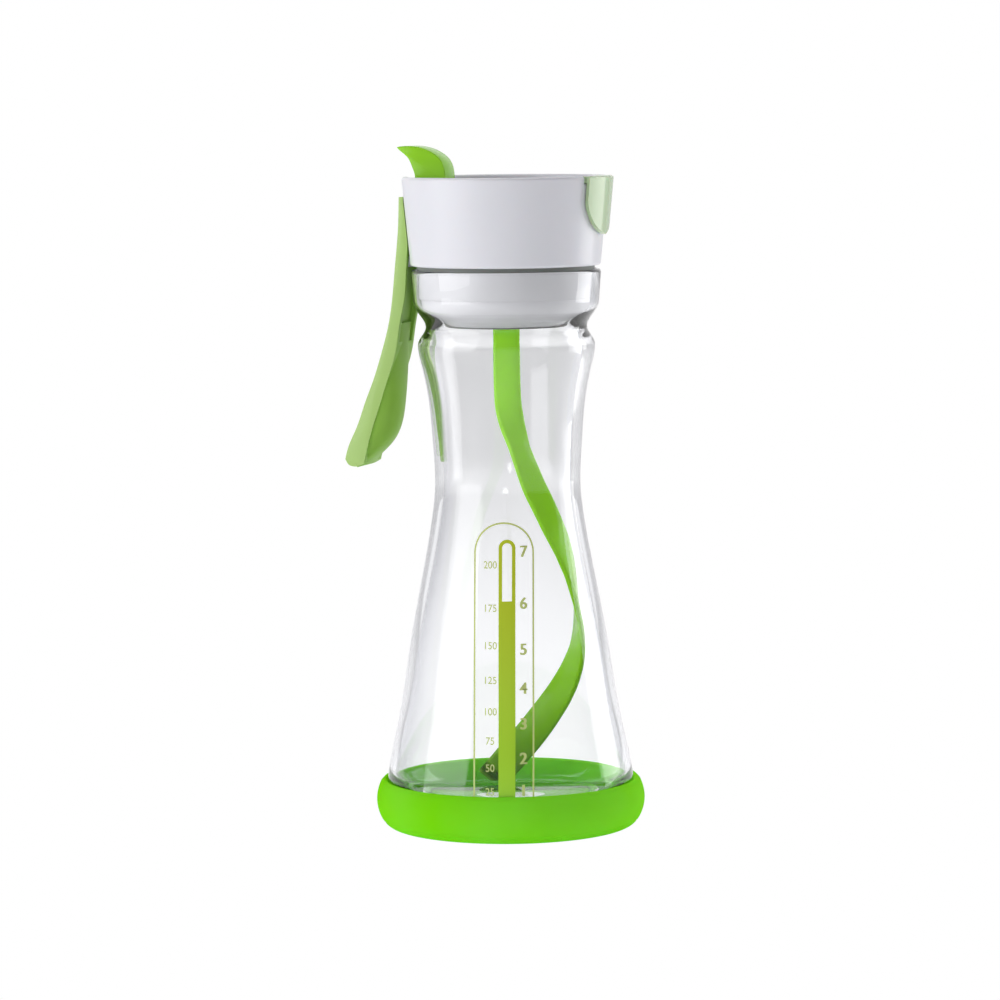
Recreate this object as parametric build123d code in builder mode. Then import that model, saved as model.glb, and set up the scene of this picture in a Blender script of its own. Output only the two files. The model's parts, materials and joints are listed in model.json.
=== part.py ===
"""Salad dressing shaker bottle, in millimetres.

A waisted glass bottle stands in a soft ring. Its push-in lid holds a small gear train: squeezing the
trigger pulls a rack, the rack turns a two-step gear, and that spins the paddle inside the bottle. A
rocker on top is opened with the thumb hook and lifts the tongue off the pouring mouth.

The frame has its origin on the bottle's axis at the ring's underside. +Z is up, the spout is towards +X
and the trigger towards -X.
"""

from build123d import *
from math import acos, atan2, cos, degrees, pi, radians, sin, sqrt, tan
import os

os.makedirs("parts", exist_ok=True)

# Clearances shared by the whole bottle
running_clear = 0.05
slide_clear = 0.12
fit_clear = 0.02
moving_clear = 0.35
overrun = 1.0

# Base ring
ring_r = 42.0
ring_height = 15.0
ring_floor_t = 2.2
ring_belly_t = 3.0
ring_foot_inset = 5.0
ring_hole_inset = 30.0
ring_lip_t = 1.3
ring_clear = 0.02
ring_belly_share = 0.45
ring_low_lean = (1, 0.12)
ring_top_lean = (-0.55, 1)

# Glass bottle: the bore of its mouth, what the wall round it adds or takes, and heights above the table
mouth_r = 28.0
lip_t = 1.6
collar_t = 1.0
groove_inset = 2.8
bulge_inset = 0.4
waist_r = 22.7
foot_z = 9.0
waist_z = 108.7
bulge_z = 151.2
groove_z = 156.3
collar_z = 165.0
rim_z = 174.6
glass_wall = 2.0
glass_floor_t = 6.0
glass_heel_r = 3.5
punt_inset = 12.0
punt_depth = 2.4
# Each pair is a share of the height from foot to waist, and of the radius that is lost on the way
flank_shares = ((0.26, 0.26), (0.49, 0.49), (0.72, 0.755), (0.905, 0.952))
# The same from waist to bulge, with the radius gained
neck_shares = ((0.294, 0.128), (0.588, 0.341), (0.84, 0.757))

# Lid shell
lid_flare = 2.6
lid_wall = 2.0
lid_z = 175.8
lid_height = 27.7
lid_edge_r = 0.9
lid_ledge_w = 1.6
lid_ledge_t = 1.8
lug_r = 1.6

# Plug, the cup that goes into the mouth
plug_gap = 1.6
plug_wall = 1.8
plug_depth = 18.4
plug_corner_r = 8.0
plug_rise = 5.2
boss_h = 7.0

# Gasket between plug and glass
gasket_t = 0.7
gasket_lip_t = 1.2
gasket_lip_gap = 5.0
gasket_lips = 2
gasket_flange_w = 0.7

# Paddle shaft and its bearings
shaft_share = 0.8
bush_wall = 1.2
shaft_step_share = 0.3
bush_flange_t = 0.8
bush_flange_w = 1.4
seal_r = 5.2
seal_t = 1.6
clip_t = 0.6
clip_w = 1.6

# Gear train
gear_room = 5.0
pinion_teeth = 10
wheel_teeth = 40
wheel_t = 3.0
backlash_share = 0.2
pressure_deg = 20.0
idler_side_share = 0.56
axle_share = 0.4
gear_gap = 0.5
shift_share = 0.4
ded_share = 1.25
hub_share = 0.7
flank_facet_shares = (0, 0.3, 0.65, 1)

# Gear base and gear cover
base_plate_t = 1.6
cover_t = 1.6
pillar_r = 2.2
pillar_inset = 4.75
pillar_angles = (60, 150, 285)
screw_r = 0.9
screw_head_r = 1.7
screw_head_t = 1.0
screw_bite = 5.0

# Rack
rack_t = 2.4
rack_height = 4.0
rack_teeth = 6
rack_end_w = 5.0
rack_end_rise = 1.0
tail_r = 1.0
tail_head_r = 1.9
tail_room = 1.3
hanger_room = 3.45
hanger_w = 3.0
hanger_wall = 0.9

# Trigger and its pin
pivot_out = 1.4
pivot_z = 177.0
trigger_w = 16.0
trigger_wall = 2.0
trigger_pin_r = 0.9
trigger_reach = 64.3
trigger_out = 20.1
hull_step = 0.8
hull_edge_r = 3.5
channel_rise = 4.0
channel_shares = (
    (0.105, -0.062),
    (0.130, 0.000),
    (0.165, 0.109),
    (0.249, 0.295),
    (0.330, 0.392),
)
finger_t = 2.2
finger_h = 3.2
peg_r = 1.3
peg_inset = 7.4
peg_rise = 12.5
trigger_turn_deg = 8.0

# Springs
trigger_coil_r = 1.5
rocker_coil_r = 2.2
spring_wire_r = 0.3
spring_sides = 6
rocker_spring_inset = 5.0
trigger_coils = 5
rocker_coils = 4

# Lid deck with the rocker's trough
deck_drop = 1.2
deck_t = 1.8
trough_wall = 1.4
well_depth = 4.7
well_l = 15.4

# Pouring rocker: thumb hook, bar and tongue
rocker_w = 9.6
rocker_t = 2.2
rocker_pin_inset = 12.5
rocker_pin_r = 0.9
rocker_boss_r = 2.0
hook_rise = 9.5
hook_inset = 4.2
hook_tip_share = 1.215
hook_tip_rise_share = 0.96
tongue_half_deg = 22.0
tongue_drop = 18.0
tongue_t = 1.15
lid_gap = 0.35
bar_flare = 4.0
# Each pair is a share of the tongue's half width, and of its drop below the lid's top
nose_shares = ((1.0, 0.41), (0.89, 0.63), (0.54, 0.87), (0.0, 1.0))

# Pouring duct and spout seal
duct_r = 5.0
duct_wall = 1.1
duct_inset = 3.1
duct_bend_r = 6.5
seal_pad_r = 4.4
seal_pad_t = 0.65

# Mixing paddle: a thin ribbon that winds outward and down
paddle_gap = 1.5
paddle_t = 1.8
paddle_top_w = 8.4
paddle_low_w = 10.2
paddle_end_gap = 1.6
hub_r = 4.2
hub_h = 3.0
hub_floor = 0.8

# Radii that follow the ring and the mouth
foot_r = ring_r - ring_belly_t
ring_foot_r = ring_r - ring_foot_inset
ring_hole_r = ring_r - ring_hole_inset
punt_r = foot_r - punt_inset
lip_r = mouth_r + lip_t
collar_r = mouth_r + collar_t
groove_r = mouth_r - groove_inset
bulge_r = mouth_r - bulge_inset
lid_low_r = lip_r
lid_top_r = lid_low_r + lid_flare
plug_r = mouth_r - plug_gap
gasket_flange_r = mouth_r + gasket_flange_w
base_r = lid_low_r - lid_wall - moving_clear
pillar_circle_r = base_r - pillar_inset
hook_back = lid_top_r - hook_inset

# Derived places
glass_low_z = ring_floor_t
glass_floor_z = glass_low_z + glass_floor_t
lid_top_z = lid_z + lid_height
plug_low_z = lid_z - plug_depth
plug_top_z = lid_z + plug_rise
base_plate_z = plug_top_z
gear_z = base_plate_z + base_plate_t + bush_flange_t + running_clear
gear_module = (mouth_r - gear_room) / (pinion_teeth / 2 + wheel_teeth + 1)
gear_backlash = gear_module * backlash_share
pinion_r = gear_module * pinion_teeth / 2
wheel_r = gear_module * wheel_teeth / 2
shaft_r = pinion_r * shaft_share
shaft_step = shaft_r * shaft_step_share
bush_r = shaft_r + bush_wall
axle_r = pinion_r * axle_share
centre_distance = pinion_r + wheel_r
idler_y = -idler_side_share * centre_distance
idler_x = -sqrt(centre_distance**2 - idler_y**2)
duct_x = plug_r - plug_wall - duct_r - duct_inset
pivot_x = -lip_r - pivot_out
rack_z = pivot_z + peg_rise
rack_low_z = rack_z - rack_height / 2
rack_top_z = rack_z + rack_height / 2
cover_z = rack_top_z + rack_end_rise + gear_gap
peg_x = pivot_x + peg_inset
hanger_reach = rack_teeth * pi * gear_module / 2 + hanger_room
left_hanger_x = idler_x - hanger_reach
right_hanger_x = idler_x + hanger_reach
deck_z = lid_top_z - deck_drop - deck_t
bar_low_z = lid_top_z - rocker_t
rocker_pin_x = rocker_pin_inset - hook_back
rocker_pin_z = bar_low_z - rocker_boss_r / 2
rocker_spring_x = rocker_spring_inset - hook_back
well_front_x = hook_back - well_l
paddle_low_z = glass_floor_z + paddle_end_gap
hub_top_z = plug_low_z - moving_clear


def lid_r(z):
    """Outer radius of the lid at a height."""
    return lid_low_r + (lid_top_r - lid_low_r) * (z - lid_z) / lid_height


def between(low, high, share):
    """Value at a share of the way from low to high."""
    return low + (high - low) * share


flank = [
    (between(foot_r, waist_r, lost), between(foot_z, waist_z, rise)) for rise, lost in flank_shares
]
neck = [
    (between(waist_r, bulge_r, gain), between(waist_z, bulge_z, rise)) for rise, gain in neck_shares
]

# Base ring: a soft boot with an inward flange that the glass stands on
ring_low_r = foot_r + ring_clear
with BuildPart() as base_ring:
    with BuildSketch(Plane.XZ):
        with BuildLine():
            Line((ring_hole_r, 0), (ring_foot_r, 0))
            Spline(
                (ring_foot_r, 0),
                (ring_r, ring_height * ring_belly_share),
                (ring_low_r + ring_lip_t, ring_height),
                tangents=(ring_low_lean, ring_top_lean),
            )
            Line((ring_low_r + ring_lip_t, ring_height), (ring_low_r, ring_height))
            Line((ring_low_r, ring_height), (ring_low_r, ring_floor_t))
            Line((ring_low_r, ring_floor_t), (ring_hole_r, ring_floor_t))
            Line((ring_hole_r, ring_floor_t), (ring_hole_r, 0))
        make_face()
    revolve(axis=Axis.Z)
base_ring.part.label = "base_ring"
export_step(base_ring.part, "parts/base_ring.step")

# Glass bottle: one turned wall from the heel to the mouth, with a thick floor pushed up in the middle
inner_foot_r = foot_r - glass_wall - glass_heel_r / 2
inner_floor_r = inner_foot_r - glass_heel_r
with BuildPart() as glass_bottle:
    with BuildSketch(Plane.XZ):
        with BuildLine():
            Line((0, glass_low_z + punt_depth), (punt_r, glass_low_z + punt_depth))
            Line((punt_r, glass_low_z + punt_depth), (punt_r + punt_depth, glass_low_z))
            Line((punt_r + punt_depth, glass_low_z), (foot_r - glass_heel_r, glass_low_z))
            TangentArc(
                (foot_r - glass_heel_r, glass_low_z),
                (foot_r, glass_low_z + glass_heel_r),
                tangent=(1, 0),
            )
            Line((foot_r, glass_low_z + glass_heel_r), (foot_r, foot_z))
            Spline((foot_r, foot_z), *flank, (waist_r, waist_z), tangents=((0, 1), (0, 1)))
            Spline((waist_r, waist_z), *neck, (bulge_r, bulge_z), tangents=((0, 1), (0, 1)))
            Spline(
                (bulge_r, bulge_z),
                (groove_r, groove_z),
                (collar_r, collar_z),
                tangents=((0, 1), (0, 1)),
            )
            Line((collar_r, collar_z), (lip_r, rim_z - (lip_r - mouth_r) / 2))
            ThreePointArc(
                (lip_r, rim_z - (lip_r - mouth_r) / 2),
                ((mouth_r + lip_r) / 2, rim_z),
                (mouth_r, rim_z - (lip_r - mouth_r) / 2),
            )
            Line((mouth_r, rim_z - (lip_r - mouth_r) / 2), (mouth_r, collar_z))
            Spline(
                (mouth_r, collar_z),
                (groove_r - glass_wall, groove_z),
                (bulge_r - glass_wall, bulge_z),
                tangents=((0, -1), (0, -1)),
            )
            Spline(
                (bulge_r - glass_wall, bulge_z),
                *[(r - glass_wall, z) for r, z in reversed(neck)],
                (waist_r - glass_wall, waist_z),
                tangents=((0, -1), (0, -1)),
            )
            Spline(
                (waist_r - glass_wall, waist_z),
                *[(r - glass_wall, z) for r, z in reversed(flank)],
                (inner_foot_r, glass_floor_z + glass_heel_r),
                (inner_floor_r, glass_floor_z),
                tangents=((0, -1), (-1, 0)),
            )
            Line((inner_floor_r, glass_floor_z), (0, glass_floor_z))
            Line((0, glass_floor_z), (0, glass_low_z + punt_depth))
        make_face()
    revolve(axis=Axis.Z)
glass_bottle.part.label = "glass_bottle"
export_step(glass_bottle.part, "parts/glass_bottle.step")


def lid_cone(gap, low_z, high_z, mode=Mode.ADD):
    """The lid's outer form, grown by a gap, between two heights, in the part that is being built."""
    with Locations((0, 0, (low_z + high_z) / 2)):
        Cone(lid_r(low_z) + gap, lid_r(high_z) + gap, high_z - low_z, mode=mode)


def bar_outline(grow):
    """Plan of the rocker's bar, which widens to the tongue, with an allowance all round."""
    half = rocker_w / 2 + grow
    wide = tongue_half_w + grow
    return (
        (-hook_back - grow, -half),
        (bar_neck_x - grow, -half),
        (bar_wide_x - grow, -wide),
        (lid_top_r + tongue_proud, -wide),
        (lid_top_r + tongue_proud, wide),
        (bar_wide_x - grow, wide),
        (bar_neck_x - grow, half),
        (-hook_back - grow, half),
    )


def block(low, high, mode=Mode.ADD):
    """Box between two corners, in the part that is being built."""
    size = [b - a for a, b in zip(low, high)]
    with Locations(tuple((a + b) / 2 for a, b in zip(low, high))):
        Box(*size, mode=mode)


def rod(centre, radius, length, axis, mode=Mode.ADD):
    """Round rod centred on a point, along X, Y or Z, in the part that is being built."""
    turn = {"X": (0, 90, 0), "Y": (90, 0, 0), "Z": (0, 0, 0)}[axis]
    with Locations(centre):
        Cylinder(radius, length, rotation=turn, mode=mode)


# Places that the lid's pieces share
tongue_proud = tongue_t + lid_gap
tongue_half_w = lid_top_r * sin(radians(tongue_half_deg))
bar_wide_x = lid_top_r * cos(radians(tongue_half_deg)) - bar_flare
bar_neck_x = bar_wide_x - bar_flare
duct_exit_z = deck_z - trough_wall - duct_r - slide_clear
lug_half = trigger_w / 2 - trigger_wall - moving_clear
finger_swing = peg_inset * sin(radians(trigger_turn_deg))
finger_top_z = rack_z + finger_h / 2 + finger_swing
well_low_z = bar_low_z - well_depth
pad_face_x = lid_r(duct_exit_z) + seal_pad_t
pitch_line_y = idler_y + pinion_r
rack_root_y = pitch_line_y + gear_module * (ded_share + shift_share)
rack_back_y = rack_root_y + rack_t
rack_mid_y = (rack_root_y + rack_back_y) / 2

# Lid shell: a tapered wall with a ledge for the deck, windows for finger and spout, and the trigger's lug
with BuildPart() as lid_shell:
    ledge_r = lid_r(deck_z) - lid_wall - lid_ledge_w
    with BuildSketch(Plane.XZ):
        Polygon(
            (lid_low_r, lid_z),
            (lid_top_r, lid_top_z),
            (lid_top_r - lid_wall, lid_top_z),
            (lid_r(deck_z) - lid_wall, deck_z),
            (ledge_r, deck_z),
            (ledge_r, deck_z - lid_ledge_t),
            (lid_r(deck_z) - lid_wall, deck_z - lid_ledge_t - lid_ledge_w),
            (lid_low_r - lid_wall, lid_z),
            align=None,
        )
    revolve(axis=Axis.Z)
    fillet(edges().group_by(Axis.Z)[-1], lid_edge_r)
    fillet(edges().group_by(Axis.Z)[0].sort_by(SortBy.LENGTH)[-1], lid_edge_r)
    # lug for the trigger's pin
    rod((pivot_x, 0, pivot_z), lug_r, 2 * lug_half, "Y")
    block((pivot_x, -lug_half, pivot_z - lug_r), (-(lid_low_r - lid_wall), lug_half, pivot_z + lug_r))
    rod((pivot_x, 0, pivot_z), trigger_pin_r, trigger_w, "Y", mode=Mode.SUBTRACT)
    block(
        (-lip_r - moving_clear, -lug_half, lid_z - lug_r), (0, lug_half, lid_z), mode=Mode.SUBTRACT
    )
    # window for the trigger's finger
    block(
        (-lid_top_r, -finger_t / 2 - moving_clear, rack_z - finger_h / 2 - moving_clear),
        (-lid_low_r + 2 * lid_wall, finger_t / 2 + moving_clear, finger_top_z + moving_clear),
        mode=Mode.SUBTRACT,
    )
    # spout window
    rod((lid_r(duct_exit_z), 0, duct_exit_z), duct_r + fit_clear, 4 * lid_wall, "X", mode=Mode.SUBTRACT)
    # notch in the rim for the rocker's bar, and another behind the thumb hook
    block(
        (bar_wide_x - bar_flare, -tongue_half_w - moving_clear, bar_low_z - moving_clear),
        (lid_top_r + tongue_proud, tongue_half_w + moving_clear, lid_top_z + overrun),
        mode=Mode.SUBTRACT,
    )
    block(
        (-lid_top_r - overrun, -rocker_w / 2 - 2 * moving_clear, bar_low_z - moving_clear),
        (-hook_back + lid_wall, rocker_w / 2 + 2 * moving_clear, lid_top_z + overrun),
        mode=Mode.SUBTRACT,
    )
    block(
        (-lid_r(deck_z) + lid_wall, -rocker_w / 2 - 2 * moving_clear, deck_z - lid_ledge_t - lid_ledge_w),
        (-hook_back + lid_wall, rocker_w / 2 + 2 * moving_clear, bar_low_z),
        mode=Mode.SUBTRACT,
    )
lid_shell.part.label = "lid_shell"
export_step(lid_shell.part, "parts/lid_shell.step")

# Lid deck: the disc on the ledge, with an open channel for the bar, a shallow trough and a deep well
deck_r = lid_r(deck_z) - lid_wall - slide_clear
with BuildPart() as lid_deck:
    with BuildSketch(Plane.XY.offset(deck_z)):
        Circle(deck_r)
    extrude(amount=deck_t)
    with BuildSketch(Plane.XY.offset(deck_z - trough_wall)):
        Polygon(*bar_outline(moving_clear + trough_wall), align=None)
        Circle(ledge_r - slide_clear, mode=Mode.INTERSECT)
    extrude(amount=trough_wall)
    with BuildSketch(Plane.XY.offset(well_low_z - trough_wall)):
        with Locations(((-hook_back - well_front_x) / 2, 0)):
            Rectangle(
                hook_back - well_front_x + 2 * (moving_clear + trough_wall),
                rocker_w + 2 * (moving_clear + trough_wall),
            )
        Circle(ledge_r - slide_clear, mode=Mode.INTERSECT)
    extrude(amount=deck_z - well_low_z + trough_wall)
    with BuildSketch(Plane.XY.offset(deck_z)):
        Polygon(*bar_outline(moving_clear), align=None)
    extrude(amount=deck_t, mode=Mode.SUBTRACT)
    block(
        (-deck_r - overrun, -rocker_w / 2 - moving_clear, well_low_z),
        (-well_front_x + moving_clear, rocker_w / 2 + moving_clear, deck_z + deck_t),
        mode=Mode.SUBTRACT,
    )
    rod((rocker_pin_x, 0, rocker_pin_z), rocker_pin_r, 3 * rocker_w, "Y", mode=Mode.SUBTRACT)
lid_deck.part.label = "lid_deck"
export_step(lid_deck.part, "parts/lid_deck.step")

# Plug: a cup with a rounded lower edge and a boss round the shaft
with BuildPart() as plug_cup:
    with BuildSketch(Plane.XZ):
        with BuildLine():
            Line((0, plug_low_z), (plug_r - plug_corner_r, plug_low_z))
            TangentArc(
                (plug_r - plug_corner_r, plug_low_z),
                (plug_r, plug_low_z + plug_corner_r),
                tangent=(1, 0),
            )
            Line((plug_r, plug_low_z + plug_corner_r), (plug_r, plug_top_z))
            Line((plug_r, plug_top_z), (plug_r - plug_wall, plug_top_z))
            Line((plug_r - plug_wall, plug_top_z), (plug_r - plug_wall, plug_low_z + plug_corner_r))
            TangentArc(
                (plug_r - plug_wall, plug_low_z + plug_corner_r),
                (plug_r - plug_corner_r, plug_low_z + plug_wall),
                tangent=(0, -1),
            )
            Line((plug_r - plug_corner_r, plug_low_z + plug_wall), (0, plug_low_z + plug_wall))
            Line((0, plug_low_z + plug_wall), (0, plug_low_z))
        make_face()
    revolve(axis=Axis.Z)
    with BuildSketch(Plane.XY.offset(plug_low_z + plug_wall)):
        Circle(seal_r + plug_wall)
    extrude(amount=boss_h - plug_wall)
    with BuildSketch(Plane.XY.offset(plug_low_z)):
        Circle(bush_r)
    extrude(amount=boss_h, mode=Mode.SUBTRACT)
    with BuildSketch(Plane.XY.offset(plug_low_z + boss_h - seal_t)):
        Circle(seal_r)
    extrude(amount=seal_t, mode=Mode.SUBTRACT)
    with BuildSketch(Plane.XY.offset(plug_low_z)):
        with Locations((duct_x, 0)):
            Circle(duct_r + fit_clear)
    extrude(amount=plug_depth / 2, mode=Mode.SUBTRACT)
plug_cup.part.label = "plug_cup"
export_step(plug_cup.part, "parts/plug_cup.step")

# Gasket: a sleeve on the plug with sealing lips, and a flange between lid and glass
with BuildPart() as plug_gasket:
    sleeve_in = plug_r + fit_clear
    sleeve_out = sleeve_in + gasket_t
    lip_out = mouth_r - running_clear
    sleeve_low = collar_z + gasket_t
    flange_low = rim_z + running_clear
    with BuildSketch(Plane.XZ):
        Polygon(
            (sleeve_in, sleeve_low),
            (sleeve_out, sleeve_low),
            (sleeve_out, flange_low),
            (gasket_flange_r, flange_low),
            (gasket_flange_r, lid_z),
            (sleeve_in, lid_z),
            align=None,
        )
        for number in range(gasket_lips):
            lip_z = sleeve_low + gasket_lip_t + number * gasket_lip_gap
            Polygon(
                (sleeve_in, lip_z - gasket_lip_t / 2),
                (sleeve_out, lip_z - gasket_lip_t / 2),
                (lip_out, lip_z),
                (sleeve_out, lip_z + gasket_lip_t / 2),
                (sleeve_in, lip_z + gasket_lip_t / 2),
                align=None,
            )
    revolve(axis=Axis.Z)
plug_gasket.part.label = "plug_gasket"
export_step(plug_gasket.part, "parts/plug_gasket.step")

# Pouring duct: rises from the plug's floor and bends out through the lid's wall
duct_low_z = plug_low_z + plug_wall / 2
with BuildPart() as pour_duct:
    with BuildLine():
        Line((duct_x, 0, duct_low_z), (duct_x, 0, duct_exit_z - duct_bend_r))
        TangentArc(
            (duct_x, 0, duct_exit_z - duct_bend_r),
            (duct_x + duct_bend_r, 0, duct_exit_z),
            tangent=(0, 0, 1),
        )
        Line(
            (duct_x + duct_bend_r, 0, duct_exit_z),
            (lid_r(duct_exit_z) - lid_gap - duct_wall / 2, 0, duct_exit_z),
        )
    with BuildSketch(Plane.XY.offset(duct_low_z)):
        with Locations((duct_x, 0)):
            Circle(duct_r)
            Circle(duct_r - duct_wall, mode=Mode.SUBTRACT)
    sweep()
pour_duct.part.label = "pour_duct"
export_step(pour_duct.part, "parts/pour_duct.step")


def involute_angle(base, radius):
    """Angle that the involute from a base circle has turned through at a radius, in radians."""
    if radius <= base:
        return 0.0
    pressure = acos(base / radius)
    return tan(pressure) - pressure


def gear_outline(teeth, shift, turn_deg):
    """Corner points of an involute gear, with one tooth centred on an angle.

    The flank is kept to a few straight facets that lie inside the true curve.
    """
    pitch = gear_module * teeth / 2
    base = pitch * cos(radians(pressure_deg))
    root = pitch - gear_module * (ded_share - shift)
    tip = pitch + gear_module * (1 + shift)
    thick = pi * gear_module / 2 + 2 * shift * gear_module * tan(radians(pressure_deg)) - gear_backlash
    half_pitch = thick / (2 * pitch) + involute_angle(base, pitch)
    start = max(base, root)
    flank_radii = [between(start, tip, share) for share in flank_facet_shares]
    points = []
    for tooth in range(teeth):
        middle = radians(turn_deg) + 2 * pi * tooth / teeth
        rising = [(radius, middle - half_pitch + involute_angle(base, radius)) for radius in flank_radii]
        falling = [(radius, 2 * middle - angle) for radius, angle in reversed(rising)]
        foot = [(root, rising[0][1])] if root < start else []
        end = [(root, falling[-1][1])] if root < start else []
        points += [(r * cos(a), r * sin(a)) for r, a in foot + rising + falling + end]
    return points


mesh_deg = degrees(atan2(-idler_y, -idler_x))
cover_top_z = cover_z + cover_t
pillar_places = [
    (pillar_circle_r * cos(radians(angle)), pillar_circle_r * sin(radians(angle)))
    for angle in pillar_angles
]

# Gear base: the plate on the plug, with pillars for the cover and a boss under the idler
with BuildPart() as gear_base:
    with BuildSketch(Plane.XY.offset(base_plate_z)):
        Circle(base_r)
    extrude(amount=base_plate_t)
    with BuildSketch(Plane.XY.offset(base_plate_z + base_plate_t)):
        with Locations(*pillar_places):
            Circle(pillar_r)
    extrude(amount=cover_z - base_plate_z - base_plate_t)
    with BuildSketch(Plane.XY.offset(base_plate_z + base_plate_t)):
        with Locations((idler_x, idler_y)):
            Circle(2 * axle_r)
    extrude(amount=bush_flange_t)
    with BuildSketch(Plane.XY.offset(base_plate_z)):
        Circle(bush_r)
        with Locations((duct_x, 0)):
            Circle(duct_r + fit_clear)
    extrude(amount=base_plate_t, mode=Mode.SUBTRACT)
    with BuildSketch(Plane.XY.offset(base_plate_z)):
        with Locations((idler_x, idler_y)):
            Circle(axle_r)
    extrude(amount=base_plate_t + bush_flange_t, mode=Mode.SUBTRACT)
    with BuildSketch(Plane.XY.offset(cover_z - screw_bite)):
        with Locations(*pillar_places):
            Circle(screw_r)
    extrude(amount=screw_bite, mode=Mode.SUBTRACT)
gear_base.part.label = "gear_base"
export_step(gear_base.part, "parts/gear_base.step")

# Gear cover: the plate on the pillars, with two hangers that guide the rack and its tail
cover_r = pillar_circle_r + pillar_r
with BuildPart() as gear_cover:
    with BuildSketch(Plane.XY.offset(cover_z)):
        Circle(cover_r)
        with Locations((duct_x + cover_r / 2, 0)):
            Rectangle(
                cover_r + 2 * (duct_r + moving_clear),
                2 * (duct_r + moving_clear),
                mode=Mode.SUBTRACT,
            )
        with Locations(*pillar_places):
            Circle(screw_r, mode=Mode.SUBTRACT)
        with Locations((idler_x, idler_y)):
            Circle(axle_r, mode=Mode.SUBTRACT)
    extrude(amount=cover_t)
    for hanger_x, hanger_low_z in (
        (left_hanger_x, rack_low_z - hanger_wall),
        (right_hanger_x, rack_z - tail_r - slide_clear - hanger_wall),
    ):
        block(
            (hanger_x - hanger_w / 2, rack_root_y - hanger_wall, hanger_low_z),
            (hanger_x + hanger_w / 2, rack_back_y + hanger_wall, cover_z),
        )
    block(
        (left_hanger_x - hanger_w, rack_root_y - slide_clear, rack_low_z - slide_clear),
        (left_hanger_x + hanger_w, rack_back_y + slide_clear, rack_top_z + slide_clear),
        mode=Mode.SUBTRACT,
    )
    rod(
        (right_hanger_x, rack_mid_y, rack_z), tail_r + slide_clear, 2 * hanger_w, "X", mode=Mode.SUBTRACT
    )
gear_cover.part.label = "gear_cover"
export_step(gear_cover.part, "parts/gear_cover.step")

# Cover screws: three alike
with BuildPart() as cover_screws:
    with BuildSketch(Plane.XY.offset(cover_z - screw_bite + slide_clear)):
        with Locations(*pillar_places):
            Circle(screw_r - fit_clear)
    extrude(amount=screw_bite - slide_clear + cover_t)
    with BuildSketch(Plane.XY.offset(cover_top_z)):
        with Locations(*pillar_places):
            Circle(screw_head_r)
            Rectangle(screw_head_r, screw_head_r / 4, mode=Mode.SUBTRACT)
    extrude(amount=screw_head_t)
    with BuildSketch(Plane.XY.offset(cover_top_z)):
        with Locations(*pillar_places):
            Circle(screw_head_r)
    extrude(amount=screw_head_t / 2)
cover_screws.part.label = "cover_screws"
export_step(cover_screws.part, "parts/cover_screws.step")

# Shaft bushes: one in the gear base, one in the plug's boss
with BuildPart() as shaft_bushes:
    for low_z, high_z in (
        (plug_low_z, plug_low_z + boss_h - seal_t),
        (base_plate_z, base_plate_z + base_plate_t),
    ):
        with BuildSketch(Plane.XY.offset(low_z)):
            Circle(bush_r - fit_clear)
        extrude(amount=high_z - low_z)
    with BuildSketch(Plane.XY.offset(base_plate_z + base_plate_t)):
        Circle(bush_r + bush_flange_w)
    extrude(amount=bush_flange_t)
    with BuildSketch(Plane.XY.offset(plug_low_z)):
        Circle(shaft_r + running_clear)
    extrude(amount=gear_z - plug_low_z, mode=Mode.SUBTRACT)
shaft_bushes.part.label = "shaft_bushes"
export_step(shaft_bushes.part, "parts/shaft_bushes.step")

# Shaft seal: the ring above the lower bush
with BuildPart() as shaft_seal:
    with BuildSketch(Plane.XY.offset(plug_low_z + boss_h - seal_t)):
        Circle(seal_r - fit_clear)
        Circle(shaft_r + running_clear, mode=Mode.SUBTRACT)
    extrude(amount=seal_t)
shaft_seal.part.label = "shaft_seal"
export_step(shaft_seal.part, "parts/shaft_seal.step")

# Idler axle
with BuildPart() as idler_axle:
    with BuildSketch(Plane.XY.offset(base_plate_z)):
        with Locations((idler_x, idler_y)):
            Circle(axle_r - fit_clear)
    extrude(amount=cover_top_z - base_plate_z)
idler_axle.part.label = "idler_axle"
export_step(idler_axle.part, "parts/idler_axle.step")

# Idler gear: the wheel that drives the paddle's pinion, with the small pinion that the rack turns
pinion_bottom_z = gear_z + wheel_t
with BuildPart() as idler_gear:
    with BuildSketch(Plane.XY.offset(gear_z)):
        with Locations((idler_x, idler_y)):
            Polygon(*gear_outline(wheel_teeth, -shift_share, mesh_deg), align=None)
    extrude(amount=wheel_t)
    with BuildSketch(Plane.XY.offset(pinion_bottom_z)):
        with Locations((idler_x, idler_y)):
            Polygon(*gear_outline(pinion_teeth, shift_share, 90), align=None)
    extrude(amount=rack_top_z - pinion_bottom_z)
    with BuildSketch(Plane.XY.offset(rack_top_z)):
        with Locations((idler_x, idler_y)):
            Circle(pinion_r * hub_share)
    extrude(amount=cover_z - rack_top_z - running_clear)
    with BuildSketch(Plane.XY.offset(gear_z)):
        with Locations((idler_x, idler_y)):
            Circle(axle_r + running_clear)
    extrude(amount=cover_z - gear_z, mode=Mode.SUBTRACT)
idler_gear.part.label = "idler_gear"
export_step(idler_gear.part, "parts/idler_gear.step")

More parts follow.
